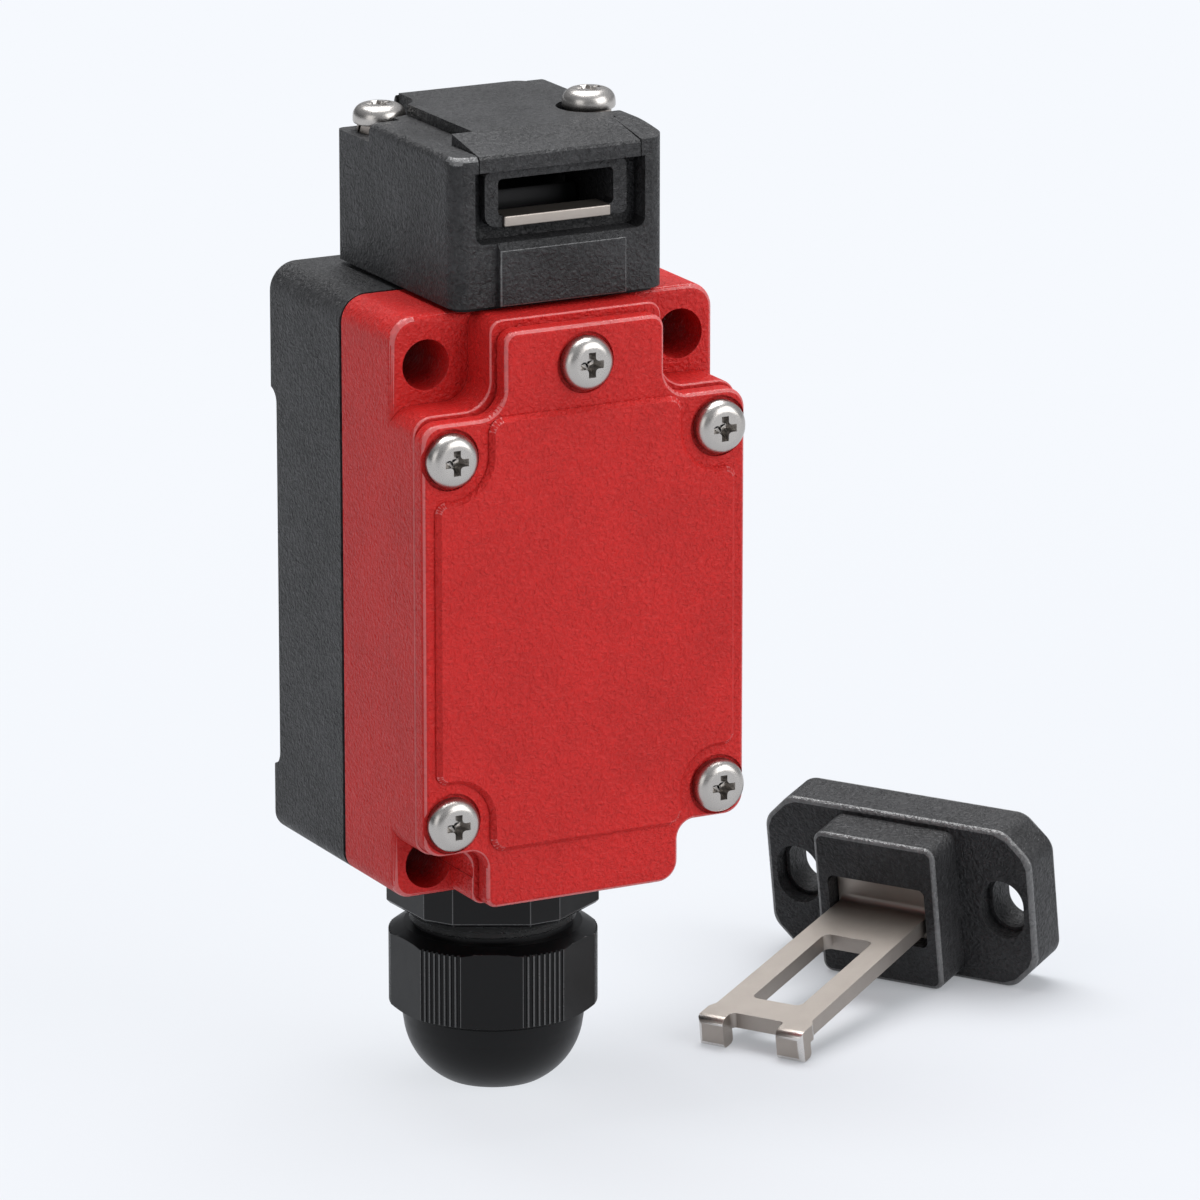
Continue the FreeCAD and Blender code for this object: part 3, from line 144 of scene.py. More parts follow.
class SwitchStage(bpy.types.PropertyGroup):
    backdrop: colour("Background", "Floor and surroundings as the camera sees them", "F6F9FE")
    floor_size: bpy.props.FloatProperty(name="Floor", description="Half the side of the floor",
                                        unit="LENGTH", default=6.0)
    target: bpy.props.FloatVectorProperty(name="Target", description="Where camera and lamps aim",
                                          subtype="TRANSLATION", unit="LENGTH", size=3,
                                          default=(0.0128, -0.020, -0.005))
    distance: bpy.props.FloatProperty(name="Camera distance", description="From the camera to its target",
                                      unit="LENGTH", default=1.0)
    azimuth: bpy.props.FloatProperty(name="Azimuth", description="Camera's angle to the left of the front",
                                     unit="ROTATION", default=math.radians(27.5))
    elevation: bpy.props.FloatProperty(name="Elevation", description="Camera's angle above the horizon",
                                       unit="ROTATION", default=math.radians(15.5))
    lens: bpy.props.FloatProperty(name="Lens", description="Focal length in millimetres", default=252.1)


def put(tree, kind, inputs=None, **choices):
    """Adds a shader node; each input is a value or the output socket of another node."""
    made = tree.nodes.new(kind)
    for name, value in choices.items():
        setattr(made, name, value)
    for name, value in (inputs or {}).items():
        if isinstance(value, bpy.types.NodeSocket):
            tree.links.new(value, made.inputs[name])
        else:
            made.inputs[name].default_value = value
    return made


def new_surface(name, inputs):
    """An empty material with its shader; returns the material, its tree, shader and object coordinates."""
    made = bpy.data.materials.new(name)
    made.use_nodes = True
    tree = made.node_tree
    tree.nodes.clear()
    shader = put(tree, "ShaderNodeBsdfPrincipled", inputs)
    out = put(tree, "ShaderNodeOutputMaterial")
    tree.links.new(shader.outputs["BSDF"], out.inputs["Surface"])
    where = put(tree, "ShaderNodeTexCoord").outputs["Object"]
    return made, tree, shader, where


def dress_shader(tree, shader, tone, roughness, bump):
    """Joins a finish's colour, roughness and relief to its shader."""
    tree.links.new(tone, shader.inputs["Base Color"])
    tree.links.new(roughness, shader.inputs["Roughness"])
    tree.links.new(bump.outputs["Normal"], shader.inputs["Normal"])


def shade(rgb, factor):
    """A colour made lighter or darker, with full opacity."""
    return [min(1.0, c * factor) for c in rgb] + [1.0]


def toward_white(rgb, share):
    """A colour mixed with a share of white."""
    return [c + (1 - c) * share for c in rgb]


def moulded_grain(tree, where, fold, height):
    """Leather grain off the mould, drawn coarser and higher than real so that it shows."""
    folds = put(tree, "ShaderNodeTexNoise", {"Vector": where, "Scale": 1 / fold, "Detail": 2.5,
                                             "Roughness": 0.55, "Distortion": 1.4})
    pits = put(tree, "ShaderNodeTexVoronoi", {"Vector": where, "Scale": 1.3 / fold, "Smoothness": 0.6},
               feature="SMOOTH_F1")
    both = put(tree, "ShaderNodeMath", {0: pits.outputs["Distance"], 1: 0.35, 2: folds.outputs["Fac"]},
               operation="MULTIPLY_ADD")
    bump = put(tree, "ShaderNodeBump", {"Height": both.outputs[0], "Strength": 1.0, "Distance": height})
    return bump, both


def moulded_surface(name, rgb, roughness, spread, finish, shine=0.24, worn=1.0):
    """A grained moulded plastic: colour and gloss drift between the tops and hollows of the grain, the
    colour lighter on the tops and darker in the hollows, a painted highlight and shade of the relief, over
    a random cloud of tone.
    """
    made, tree, shader, where = new_surface(name, {"Metallic": 0.0, "IOR": 1.46,
                                                   "Specular IOR Level": shine})
    bump, relief = moulded_grain(tree, where, finish.grain, finish.grain_height * worn)
    cloud = put(tree, "ShaderNodeTexNoise", {"Vector": where, "Scale": 1 / (9 * MM), "Detail": 4.0})
    # colour lighter on the grain's tops and darker in its hollows: painted highlight and shade of the
    # relief, mixed with random tone
    drift = put(tree, "ShaderNodeMath", {0: cloud.outputs["Fac"], 1: relief.outputs[0]}, operation="ADD")
    tint = put(tree, "ShaderNodeMapRange", {"Value": drift.outputs[0], "From Min": 0.9, "From Max": 1.4,
                                            "To Min": 0.0, "To Max": 1.0})
    mixed = put(tree, "ShaderNodeMix", {"Factor": tint.outputs["Result"]}, data_type="RGBA")
    mixed.inputs["A"].default_value = shade(rgb, 1 - spread)
    mixed.inputs["B"].default_value = shade(rgb, 1 + spread)
    gloss = put(tree, "ShaderNodeMapRange", {"Value": relief.outputs[0], "From Min": 0.4, "From Max": 1.0,
                                             "To Min": roughness + 0.08, "To Max": roughness - 0.06})
    dress_shader(tree, shader, mixed.outputs["Result"], gloss.outputs["Result"], bump)
    return made


def moulded_red_polyester(colours, finish):
    # glass-filled thermoplastic polyester off an eroded mould: satin, leathery to the eye, soft highlights
    return moulded_surface("moulded_red_polyester", colours.shell_red, 0.44, 0.1, finish)


def moulded_dark_polyester(colours, finish):
    # the same plastic in dark grey, its colour spread wide along the grain: a painted speck of highlight on
    # each pip and painted shade in the pits, so faces look dusted
    return moulded_surface("moulded_dark_polyester", colours.shell_dark, 0.44, 0.45, finish, shine=0.3)


def polished_highlit_red_polyester(colours, finish):
    # round edges of the red shells, glossier where handling has polished the grain, their colour painted
    # lighter: a painted highlight, a pale pink line of light
    return moulded_surface("polished_highlit_red_polyester", toward_white(colours.shell_red, 0.075), 0.3, 0.1,
                           finish, shine=0.65, worn=0.5)


def shaded_dusty_crease_red_polyester(colours, finish):
    # inner corners of the red shells, painted much darker and duller: painted shade in the crease, with
    # some dust where the mould is deep
    return moulded_surface("shaded_dusty_crease_red_polyester", shade(colours.shell_red, 0.3)[:3], 0.6, 0.05, finish,
                           shine=0.15, worn=0.5)


def polished_highlit_dark_polyester(colours, finish):
    # round edges of the dark shells: glossier where polished, their grey painted lighter as a painted
    # highlight, so each edge draws a fine light line
    return moulded_surface("polished_highlit_dark_polyester", toward_white(colours.shell_dark, 0.07), 0.3, 0.3,
                           finish, shine=0.9, worn=0.7)


def shaded_dusty_crease_dark_polyester(colours, finish):
    # inner corners of the dark shells, painted nearly black and dull: painted shade in the crease, with
    # some dust
    return moulded_surface("shaded_dusty_crease_dark_polyester", shade(colours.shell_dark, 0.45)[:3], 0.6, 0.1, finish,
                           shine=0.15, worn=0.5)


def smooth_polyamide(name, rgb, shine, gloss_low, gloss_high):
    """Smooth moulded polyamide with faint flow marks in its colour and gloss."""
    made, tree, shader, where = new_surface(name, {"Metallic": 0.0, "IOR": 1.53,
                                                   "Specular IOR Level": shine})
    flow = put(tree, "ShaderNodeTexNoise", {"Vector": where, "Scale": 1 / (3 * MM), "Detail": 5.0,
                                            "Distortion": 1.2})
    tint = put(tree, "ShaderNodeMix", {"Factor": flow.outputs["Fac"]}, data_type="RGBA")
    tint.inputs["A"].default_value = shade(rgb, 0.8)
    tint.inputs["B"].default_value = shade(rgb, 1.25)
    gloss = put(tree, "ShaderNodeMapRange", {"Value": flow.outputs["Fac"], "To Min": gloss_low,
                                             "To Max": gloss_high})
    skin = put(tree, "ShaderNodeTexNoise", {"Vector": where, "Scale": 1 / (0.3 * MM), "Detail": 2.0})
    bump = put(tree, "ShaderNodeBump", {"Height": skin.outputs["Fac"], "Strength": 1.0,
                                        "Distance": 0.004 * MM})
    dress_shader(tree, shader, tint.outputs["Result"], gloss.outputs["Result"], bump)
    return made


def polyamide_black(colours, finish):
    # moulded polyamide of the gland: deep black with a satin sheen
    return smooth_polyamide("polyamide_black", colours.gland_black, 0.2, 0.3, 0.44)


def polished_highlit_polyamide(colours, finish):
    # edges of the gland's ribs and flats, glossier where the spanner rubbed them, their black painted a
    # little lighter: painted highlight, thin grey lines of light
    return smooth_polyamide("polished_highlit_polyamide", toward_white(colours.gland_black, 0.04), 0.6, 0.22, 0.32)


def nitrile_rubber(colours, finish):
    # moulded rubber: no gloss, dusty black with a soft tooth
    made, tree, shader, where = new_surface("nitrile_rubber", {"Metallic": 0.0, "IOR": 1.5,
                                                               "Specular IOR Level": 0.3})
    dust = put(tree, "ShaderNodeTexNoise", {"Vector": where, "Scale": 1 / (0.8 * MM), "Detail": 4.0})
    tint = put(tree, "ShaderNodeMix", {"Factor": dust.outputs["Fac"]}, data_type="RGBA")
    tint.inputs["A"].default_value = shade(colours.seal_black, 0.7)
    tint.inputs["B"].default_value = shade(colours.seal_black, 1.6)
    rough = put(tree, "ShaderNodeMapRange", {"Value": dust.outputs["Fac"], "To Min": 0.6, "To Max": 0.85})
    bump = put(tree, "ShaderNodeBump", {"Height": dust.outputs["Fac"], "Strength": 0.6,
                                        "Distance": 0.02 * MM})
    dress_shader(tree, shader, tint.outputs["Result"], rough.outputs["Result"], bump)
    return made


def brushed_metal(name, rgb, roughness, line, stretch, bump_height):
    """A metal with fine lines or specks, drifting in gloss and tint; stretch below 1 draws them out."""
    made, tree, shader, where = new_surface(name, {"Metallic": 1.0})
    mapped = put(tree, "ShaderNodeMapping", {"Vector": where, "Scale": stretch})
    lines = put(tree, "ShaderNodeTexNoise", {"Vector": mapped.outputs["Vector"], "Scale": 1 / line,
                                             "Detail": 3.0})
    cloud = put(tree, "ShaderNodeTexNoise", {"Vector": where, "Scale": 1 / (2.5 * MM), "Detail": 3.0})
    tint = put(tree, "ShaderNodeMix", {"Factor": cloud.outputs["Fac"]}, data_type="RGBA")
    tint.inputs["A"].default_value = shade(rgb, 0.9)
    tint.inputs["B"].default_value = shade(rgb, 1.06)
    rough = put(tree, "ShaderNodeMapRange", {"Value": lines.outputs["Fac"], "From Min": 0.3,
                                             "From Max": 0.7, "To Min": roughness - 0.06,
                                             "To Max": roughness + 0.08})
    bump = put(tree, "ShaderNodeBump", {"Height": lines.outputs["Fac"], "Strength": 1.0,
                                        "Distance": bump_height})
    dress_shader(tree, shader, tint.outputs["Result"], rough.outputs["Result"], bump)
    return made


def nickel_plated_steel(colours, finish):
    # stamped steel under satin nickel: even warm grey, mottled like fine sandpaper
    return brushed_metal("nickel_plated_steel", colours.nickel, 0.42, finish.steel_line,
                         (1.0, 1.0, 1.0), 0.01 * MM)


def polished_highlit_nickel(colours, finish):
    # rolled edges of the stamped steel: the same nickel, glossier where the die drew it, painted brighter
    # as a painted highlight
    return brushed_metal("polished_highlit_nickel", toward_white(colours.nickel, 0.45), 0.26, finish.steel_line,
                         (1.0, 1.0, 1.0), 0.002 * MM)


def stainless_steel(colours, finish):
    # cold-headed stainless: bright satin, with faint drawing lines
    return brushed_metal("stainless_steel", colours.stainless, 0.3, finish.steel_line,
                         (1.0, 0.25, 1.0), 0.0006 * MM)


def phosphated_steel(colours, finish):
    # hardened steel with an oiled phosphate coat: near black, dull, so the key slot reads as a dark hole
    return brushed_metal("phosphated_steel", colours.phosphate, 0.5, finish.steel_line,
                         (1.0, 1.0, 1.0), 0.004 * MM)


def drawn_brass(colours, finish):
    # rolled brass strip: yellow, fine rolling lines
    return brushed_metal("drawn_brass", colours.contact_brass, 0.28, finish.steel_line,
                         (0.2, 1.0, 1.0), 0.003 * MM)


def moulded_melamine(colours, finish):
    # pressed melamine: pale, chalky, faintly speckled by its filler
    return moulded_surface("moulded_melamine", colours.block_cream, 0.55, 0.05, finish)


def moulded_acetal(colours, finish):
    # smooth acetal of the sliding carrier: grey with a waxy sheen
    return moulded_surface("moulded_acetal", colours.carrier_grey, 0.35, 0.05, finish)


# the edge finishes are painted highlights on glossier edges; the crease finishes are painted shade with
# some dust
finishes = {
    "red plastic": moulded_red_polyester, "red edge highlight": polished_highlit_red_polyester,
    "red crease shade and dust": shaded_dusty_crease_red_polyester, "dark plastic": moulded_dark_polyester,
    "dark edge highlight": polished_highlit_dark_polyester, "dark crease shade and dust": shaded_dusty_crease_dark_polyester,
    "gland plastic": polyamide_black, "gland edge highlight": polished_highlit_polyamide, "rubber": nitrile_rubber,
    "nickel": nickel_plated_steel, "nickel edge highlight": polished_highlit_nickel,
    "stainless": stainless_steel, "black steel": phosphated_steel, "brass": drawn_brass,
    "cream plastic": moulded_melamine, "grey plastic": moulded_acetal,
}
red_finishes = ["red plastic", "red edge highlight", "red crease shade and dust"]
dark_finishes = ["dark plastic", "dark edge highlight", "dark crease shade and dust"]
made_finishes = {}


def surface(name):
    """The finish of that name, made once."""
    if name not in made_finishes:
        scene = bpy.context.scene
        made_finishes[name] = finishes[name](scene.switch_colours, scene.switch_finish)
    return made_finishes[name]


def only(*pieces):
    """Selects these pieces alone, the first one active."""
    bpy.ops.object.select_all(action="DESELECT")
    for piece in pieces:
        piece.select_set(True)
    bpy.context.view_layer.objects.active = pieces[0]


def clad(piece, body, slot_name, finish_names, *nodes):
    """Finishes a piece: its materials, the body that it rides on and the solids that it stands for."""
    piece.data.materials.clear()
    for finish_name in finish_names:
        piece.data.materials.append(surface(finish_name))
    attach(piece, body)
    if nodes:
        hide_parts(*nodes)


def select_edges(piece, wanted):
    """Selects the edges for which wanted(edge, its turn in radians) holds; the piece is in edit mode."""
    bpy.ops.mesh.select_mode(type="EDGE")
    bpy.ops.mesh.select_all(action="DESELECT")
    form = bmesh.from_edit_mesh(piece.data)
    for edge in form.edges:
        edge.select_set(wanted(edge, edge.calc_face_angle(0.0)))
    bmesh.update_edit_mesh(piece.data)


def merged_copy(node, broken_edge, crease, plain_places, shaped):
    """A CAD node's form, merged, then shaped further; its sharp edges are broken except at plain places."""
    piece = bpy.data.objects.new(node + "_skin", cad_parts[node].data.copy())
    bpy.context.scene.collection.objects.link(piece)
    only(piece)
    bpy.ops.object.mode_set(mode="EDIT")
    bpy.ops.mesh.select_all(action="SELECT")
    bpy.ops.mesh.remove_doubles(threshold=MERGED_WITHIN)
    bpy.ops.mesh.dissolve_limited(angle_limit=FLAT_WITHIN)
    if shaped:
        shaped(piece)
    if broken_edge:
        def sharp(edge, turn):
            middle = (edge.verts[0].co + edge.verts[1].co) / 2
            return turn > crease and all((middle - place).length > reach for place, reach in plain_places)

        select_edges(piece, sharp)
        bpy.ops.mesh.bevel(offset=broken_edge, segments=2, clamp_overlap=True, miter_outer="ARC")
    bpy.ops.object.mode_set(mode="OBJECT")
    return piece


def mark_wear(piece, creased, off_axis):
    """Gives slot 1, the painted edge highlight, to the crests of tight outer rounds and, where creased,
    slot 2, painted shade with some dust, to tight inner ones.
    """
    form = bmesh.new()
    form.from_mesh(piece.data)
    slots = []
    for face in form.faces:
        bend = sum(edge.calc_face_angle_signed(0.0) * edge.calc_length() for edge in face.edges)
        bend /= 2 * max(face.calc_area(), SMALLEST_AREA)
        crest = max(abs(part) for part in face.normal) < math.cos(off_axis)
        # slot 1 takes a painted highlight, slot 2 painted shade with some dust
        if bend > 1 / HIGHLIT_EDGE_RADIUS and crest:
            slots.append(1)
        elif creased and bend < -1 / SHADED_DUSTY_CREASE_RADIUS:
            slots.append(2)
        else:
            slots.append(0)
    form.free()
    piece.data.polygons.foreach_set("material_index", slots)


def smooth_form(piece, crease):
    """Smooth shading up to the crease angle, with large faces kept flat to the eye."""
    only(piece)
    bpy.ops.object.shade_smooth_by_angle(angle=crease)
    flat = piece.modifiers.new("flat_faces", "WEIGHTED_NORMAL")
    flat.mode = "FACE_AREA"
    flat.keep_sharp = True
    bpy.ops.object.modifier_apply(modifier=flat.name)


def dress(node, body, slot_name, finish_names, broken_edge=0.0, crease=SHARP_MOULDING, plain_places=(),
          off_axis=CREST_TILT, shaped=None):
    """A CAD node's form with its finish, then the finishes of its edges, glossier and painted lighter as a
    highlight, and of its inner corners, painted darker as shade.
    """
    piece = merged_copy(node, broken_edge, crease, plain_places, shaped)
    clad(piece, body, slot_name, finish_names, node)
    if len(finish_names) > 1:
        mark_wear(piece, len(finish_names) > 2, off_axis)
    smooth_form(piece, crease)


def solids_of(node):
    """Lowest and highest corner of each loose solid of a CAD node."""
    form = bmesh.new()
    form.from_mesh(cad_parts[node].data)
    bmesh.ops.remove_doubles(form, verts=form.verts, dist=MERGED_WITHIN)
    left = set(form.verts)
    boxes = []
    while left:
        reached = [left.pop()]
        for vertex in reached:
            for edge in vertex.link_edges:
                other = edge.other_vert(vertex)
                if other in left:
                    left.remove(other)
                    reached.append(other)
        places = [vertex.co.copy() for vertex in reached]
        boxes.append((Vector([min(p[i] for p in places) for i in range(3)]),
                      Vector([max(p[i] for p in places) for i in range(3)])))
    form.free()
    return sorted(boxes, key=lambda box: tuple(box[0]))


def cut_away(piece, cutter):
    """Takes the cutter's form out of the piece and removes the cutter."""
    only(piece)
    taken = piece.modifiers.new("recess", "BOOLEAN")
    taken.operation = "DIFFERENCE"
    taken.solver = "EXACT"
    taken.object = cutter
    bpy.ops.object.modifier_apply(modifier=taken.name)
    bpy.data.objects.remove(cutter)


def cross_cutter(screws, top):
    """The tapered cross that a driver fits, with round inner corners."""
    bpy.ops.object.select_all(action="DESELECT")
    bpy.ops.mesh.primitive_cube_add(size=screws.arm, location=(0, 0, top))
    cutter = bpy.context.object
    bpy.ops.object.transform_apply(location=True, rotation=False, scale=False)
    bpy.ops.object.mode_set(mode="EDIT")
    form = bmesh.from_edit_mesh(cutter.data)
    for way in (Vector((1, 0, 0)), Vector((-1, 0, 0)), Vector((0, 1, 0)), Vector((0, -1, 0))):
        bpy.ops.mesh.select_mode(type="FACE")
        bpy.ops.mesh.select_all(action="DESELECT")
        for face in form.faces:
            aside = face.calc_center_median() - Vector((0, 0, top))
            aside -= way * aside.dot(way)
            face.select_set(face.normal.dot(way) > 0.9 and aside.length < 0.3 * screws.arm)
        bmesh.update_edit_mesh(cutter.data)
        reach_out = way * (screws.reach - screws.arm / 2)
        bpy.ops.mesh.extrude_region_move(TRANSFORM_OT_translate={"value": reach_out})
        form = bmesh.from_edit_mesh(cutter.data)
    bpy.ops.mesh.select_mode(type="VERT")
    bpy.ops.mesh.select_all(action="DESELECT")
    form = bmesh.from_edit_mesh(cutter.data)
    for vertex in form.verts:
        vertex.select_set(vertex.co.z < top)
    bmesh.update_edit_mesh(cutter.data)
    bpy.ops.transform.translate(value=(0, 0, screws.arm / 2 - screws.deep))
    bpy.ops.transform.resize(value=(0.5, 0.5, 1.0), center_override=(0, 0, top))

    def inner_corner(edge, turn):
        low, high = sorted((vertex.co for vertex in edge.verts), key=lambda place: place.z)
        return high.z - low.z > 0.5 * screws.deep and max(abs(high.x), abs(high.y)) < 0.6 * screws.arm

    select_edges(cutter, inner_corner)
    bpy.ops.mesh.bevel(offset=0.4 * screws.arm, segments=4)
    bpy.ops.object.mode_set(mode="OBJECT")
    return cutter


def pan_screw(name, screws, head_radius, crown, shank_radius, shank_length):
    """A pan head screw along +Z, seated at the origin: domed head, cross recess, threaded shank."""
    dome_round = 0.66 * crown
    foot_round = 0.12 * crown
    sunk = 0.02 * MM
    pitch = shank_radius / 3
    thread_root = 0.86
    tip = 0.7
    bpy.ops.object.select_all(action="DESELECT")
    bpy.ops.mesh.primitive_cylinder_add(vertices=48, radius=head_radius, depth=crown,
                                        location=(0, 0, crown / 2))
    screw = bpy.context.object
    screw.name = name
    bpy.ops.object.transform_apply(location=True, rotation=False, scale=False)
    bpy.ops.object.mode_set(mode="EDIT")
    select_edges(screw, lambda edge, turn: min(v.co.z for v in edge.verts) > 0.9 * crown)
    bpy.ops.mesh.bevel(offset=dome_round, segments=8, clamp_overlap=True)
    select_edges(screw, lambda edge, turn: max(v.co.z for v in edge.verts) < 0.1 * crown)
    bpy.ops.mesh.bevel(offset=foot_round, segments=2, clamp_overlap=True)
    bpy.ops.object.mode_set(mode="OBJECT")
    cut_away(screw, cross_cutter(screws, crown))

    bpy.ops.object.select_all(action="DESELECT")
    bpy.ops.mesh.primitive_circle_add(vertices=32, radius=shank_radius, fill_type="NGON",
                                      location=(0, 0, sunk))
    shank = bpy.context.object
    bpy.ops.object.transform_apply(location=True, rotation=False, scale=False)
    bpy.ops.object.mode_set(mode="EDIT")
    bpy.ops.mesh.select_all(action="SELECT")
    turns = int(shank_length / pitch) - 1
    rest = shank_length - turns * pitch
    for turn in range(turns):
        for widen in (thread_root, 1 / thread_root):
            bpy.ops.mesh.extrude_region_move(TRANSFORM_OT_translate={"value": (0, 0, -pitch / 2)})
            bpy.ops.transform.resize(value=(widen, widen, 1.0), center_override=(0, 0, 0))
    bpy.ops.mesh.extrude_region_move(TRANSFORM_OT_translate={"value": (0, 0, -rest)})
    bpy.ops.transform.resize(value=(tip, tip, 1.0), center_override=(0, 0, 0))
    bpy.ops.mesh.select_all(action="SELECT")
    bpy.ops.mesh.normals_make_consistent(inside=False)
    bpy.ops.object.mode_set(mode="OBJECT")
    only(screw, shank)
    bpy.ops.object.join()
    return screw


def place_screws(node, out, body, slot_name, screws, head, crown, shank):
    """Pan head screws where the CAD node has them: one is modelled for each length, the others copied."""
    axis = max(range(3), key=lambda i: abs(out[i]))
    turn = out.to_track_quat("Z", "X").to_matrix().to_4x4()
    patterns = {}
    for number, (low, high) in enumerate(solids_of(node), 1):
        length_in = round(high[axis] - low[axis] - crown, 4)
        if length_in not in patterns:
            patterns[length_in] = pan_screw(node + "_pattern", screws, head, crown, shank, length_in)
        top = (low + high) / 2
        top[axis] = high[axis] if out[axis] > 0 else low[axis]
        mesh = patterns[length_in].data.copy()
        mesh.transform(Matrix.Translation(top - out * crown) @ turn)
        piece = bpy.data.objects.new(node + "_" + str(number), mesh)
        bpy.context.scene.collection.objects.link(piece)
        clad(piece, body, slot_name, ["stainless"], node)
        smooth_form(piece, SHARP_SCREW)
    for pattern in patterns.values():
        bpy.data.objects.remove(pattern)


class SWITCH_OT_shells(bpy.types.Operator):
    """Dress the rear half, the front half and the cover"""
    bl_idname = "switch.shells"
    bl_label = "Body shells and cover"

    def execute(self, context):
        broken = context.scene.switch_finish.edge_round
        dress("rear_housing", "body", "dark_shell", dark_finishes, broken)
        dress("front_housing", "body", "red_shell", red_finishes, broken)
        dress("cover", "body", "red_shell", red_finishes, broken)
        return {"FINISHED"}


class SWITCH_OT_seals(bpy.types.Operator):
    """Dress the rubber seals between the shells, the head and the gland"""
    bl_idname = "switch.seals"
    bl_label = "Seals"

    def execute(self, context):
        for node, body in (("body_seal", "body"), ("cover_seal", "body"), ("gland_seal", "body"),
                           ("head_gasket", "head"), ("plunger_seal", "head"), ("gland_insert", "body")):
            dress(node, body, "black_rubber", ["rubber"])
        return {"FINISHED"}


class SWITCH_OT_screws(bpy.types.Operator):
    """Model the pan head screws of the cover and the head, and dress the body screws"""
    bl_idname = "switch.screws"
    bl_label = "Screws"

    def execute(self, context):
        screws = context.scene.switch_screws
        place_screws("cover_screws", Vector((0, -1, 0)), "body", "steel", screws,
                     screws.cover_head, screws.cover_crown, screws.shank)
        place_screws("head_screws", Vector((0, 0, 1)), "head", "nickel_steel", screws,
                     screws.top_head, screws.top_crown, screws.top_shank)
        dress("body_screws", "body", "steel", ["stainless"])
        return {"FINISHED"}


class SWITCH_OT_head(bpy.types.Operator):
    """Dress the head, its roof piece, the slot frame and the turret"""
    bl_idname = "switch.head"
    bl_label = "Head"

    def execute(self, context):
        broken = context.scene.switch_finish.edge_round
        for node in ("head_housing", "slot_frame"):
            dress(node, "head", "dark_shell", dark_finishes, broken)
        dress("head_cap", "head", "dark_shell", dark_finishes, broken, crease=SHARP_ROOF)
        dress("turret", "head", "dark_shell", ["dark plastic"])
        return {"FINISHED"}


class SWITCH_OT_head_metal(bpy.types.Operator):
    """Dress the slot lip, the spring washers, the cam, its pin and the plunger"""
    bl_idname = "switch.head_metal"
    bl_label = "Metal of the head"

    def execute(self, context):
        broken = context.scene.switch_finish.metal_round
        dress("slot_lip", "head", "nickel_steel", ["nickel", "nickel edge highlight"], broken)
        dress("head_spring_washers", "head", "nickel_steel", ["nickel"])
        dress("cam_wheel", "cam", "steel", ["black steel"], broken)
        dress("cam_axle", "head", "steel", ["black steel"])
        dress("plunger", "plunger", "steel", ["black steel"])
        return {"FINISHED"}


class SWITCH_OT_contacts(bpy.types.Operator):
    """Dress the contact block and what moves in it"""
    bl_idname = "switch.contacts"
    bl_label = "Contact block"

    def execute(self, context):
        dress("contact_block", "body", "cream_plastic", ["cream plastic"])
        dress("contact_carrier", "contact_slide", "grey_plastic", ["grey plastic"])
        for node in ("upper_bridge", "lower_bridge"):
            dress(node, "contact_slide", "contact_brass", ["brass"])
        dress("fixed_contacts", "body", "contact_brass", ["brass"])
        for node in ("block_screws", "terminal_screws"):
            dress(node, "body", "steel", ["stainless"])
        for node in ("upper_contact_spring", "lower_contact_spring"):
            dress(node, "contact_slide", "spring_steel", ["stainless"])
        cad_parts["return_spring"].data.materials.clear()
        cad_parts["return_spring"].data.materials.append(surface("stainless"))
        return {"FINISHED"}


def thread_turns(gland):
    """The clamping thread that shows between the gland's hexagon and its nut, as a swept ridge."""
    low, high = solids_of("gland_nut")[0]
    middle = (low + high) / 2
    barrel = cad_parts["gland_body"].data.vertices
    hexagon_low = min(v.co.z for v in barrel if (v.co.xy - middle.xy).length > 0.45 * (high.x - low.x))
    core = max((v.co.xy - middle.xy).length for v in barrel if v.co.z < hexagon_low - gland.pitch)
    bpy.ops.object.select_all(action="DESELECT")
    bpy.ops.mesh.primitive_circle_add(vertices=3, radius=gland.turn_height)
    ridge = bpy.context.object
    ridge.name = "gland_thread"
    profile = ((0.0, -0.48 * gland.pitch), (gland.turn_height, 0.0), (0.0, 0.48 * gland.pitch))
    for vertex, (out, up) in zip(ridge.data.vertices, profile):
        vertex.co = Vector((core + out, 0, up))
    swept = ridge.modifiers.new("turns", "SCREW")
    swept.steps = 64
    swept.render_steps = 64
    swept.iterations = int((hexagon_low - high.z) / gland.pitch)
    swept.screw_offset = gland.pitch
    bpy.ops.object.modifier_apply(modifier=swept.name)
    bpy.ops.object.mode_set(mode="EDIT")
    bpy.ops.mesh.select_all(action="SELECT")
    bpy.ops.mesh.fill_holes(sides=4)
    bpy.ops.mesh.select_all(action="SELECT")
    bpy.ops.mesh.normals_make_consistent(inside=False)
    bpy.ops.transform.translate(value=(middle.x, middle.y, high.z + gland.pitch / 2))
    bpy.ops.object.mode_set(mode="OBJECT")
    # the whole thread takes the gland's edge finish, painted a little lighter than the gland: a painted
    # highlight
    clad(ridge, "body", "black_plastic", ["gland edge highlight"])
    smooth_form(ridge, SHARP_SCREW)


class SWITCH_OT_gland(bpy.types.Operator):
    """Dress the cable gland with its locknut and clamping cage"""
    bl_idname = "switch.gland"
    bl_label = "Cable gland"

    def execute(self, context):
        broken = context.scene.switch_finish.rib_round
        for node in ("gland_body", "gland_nut"):
            dress(node, "body", "black_plastic", ["gland plastic", "gland edge highlight"], broken, SHARP_GLAND,
                  off_axis=0.0)
        for node in ("gland_locknut", "gland_cage"):
            dress(node, "body", "black_plastic", ["gland plastic"])
        thread_turns(context.scene.switch_gland)
        return {"FINISHED"}


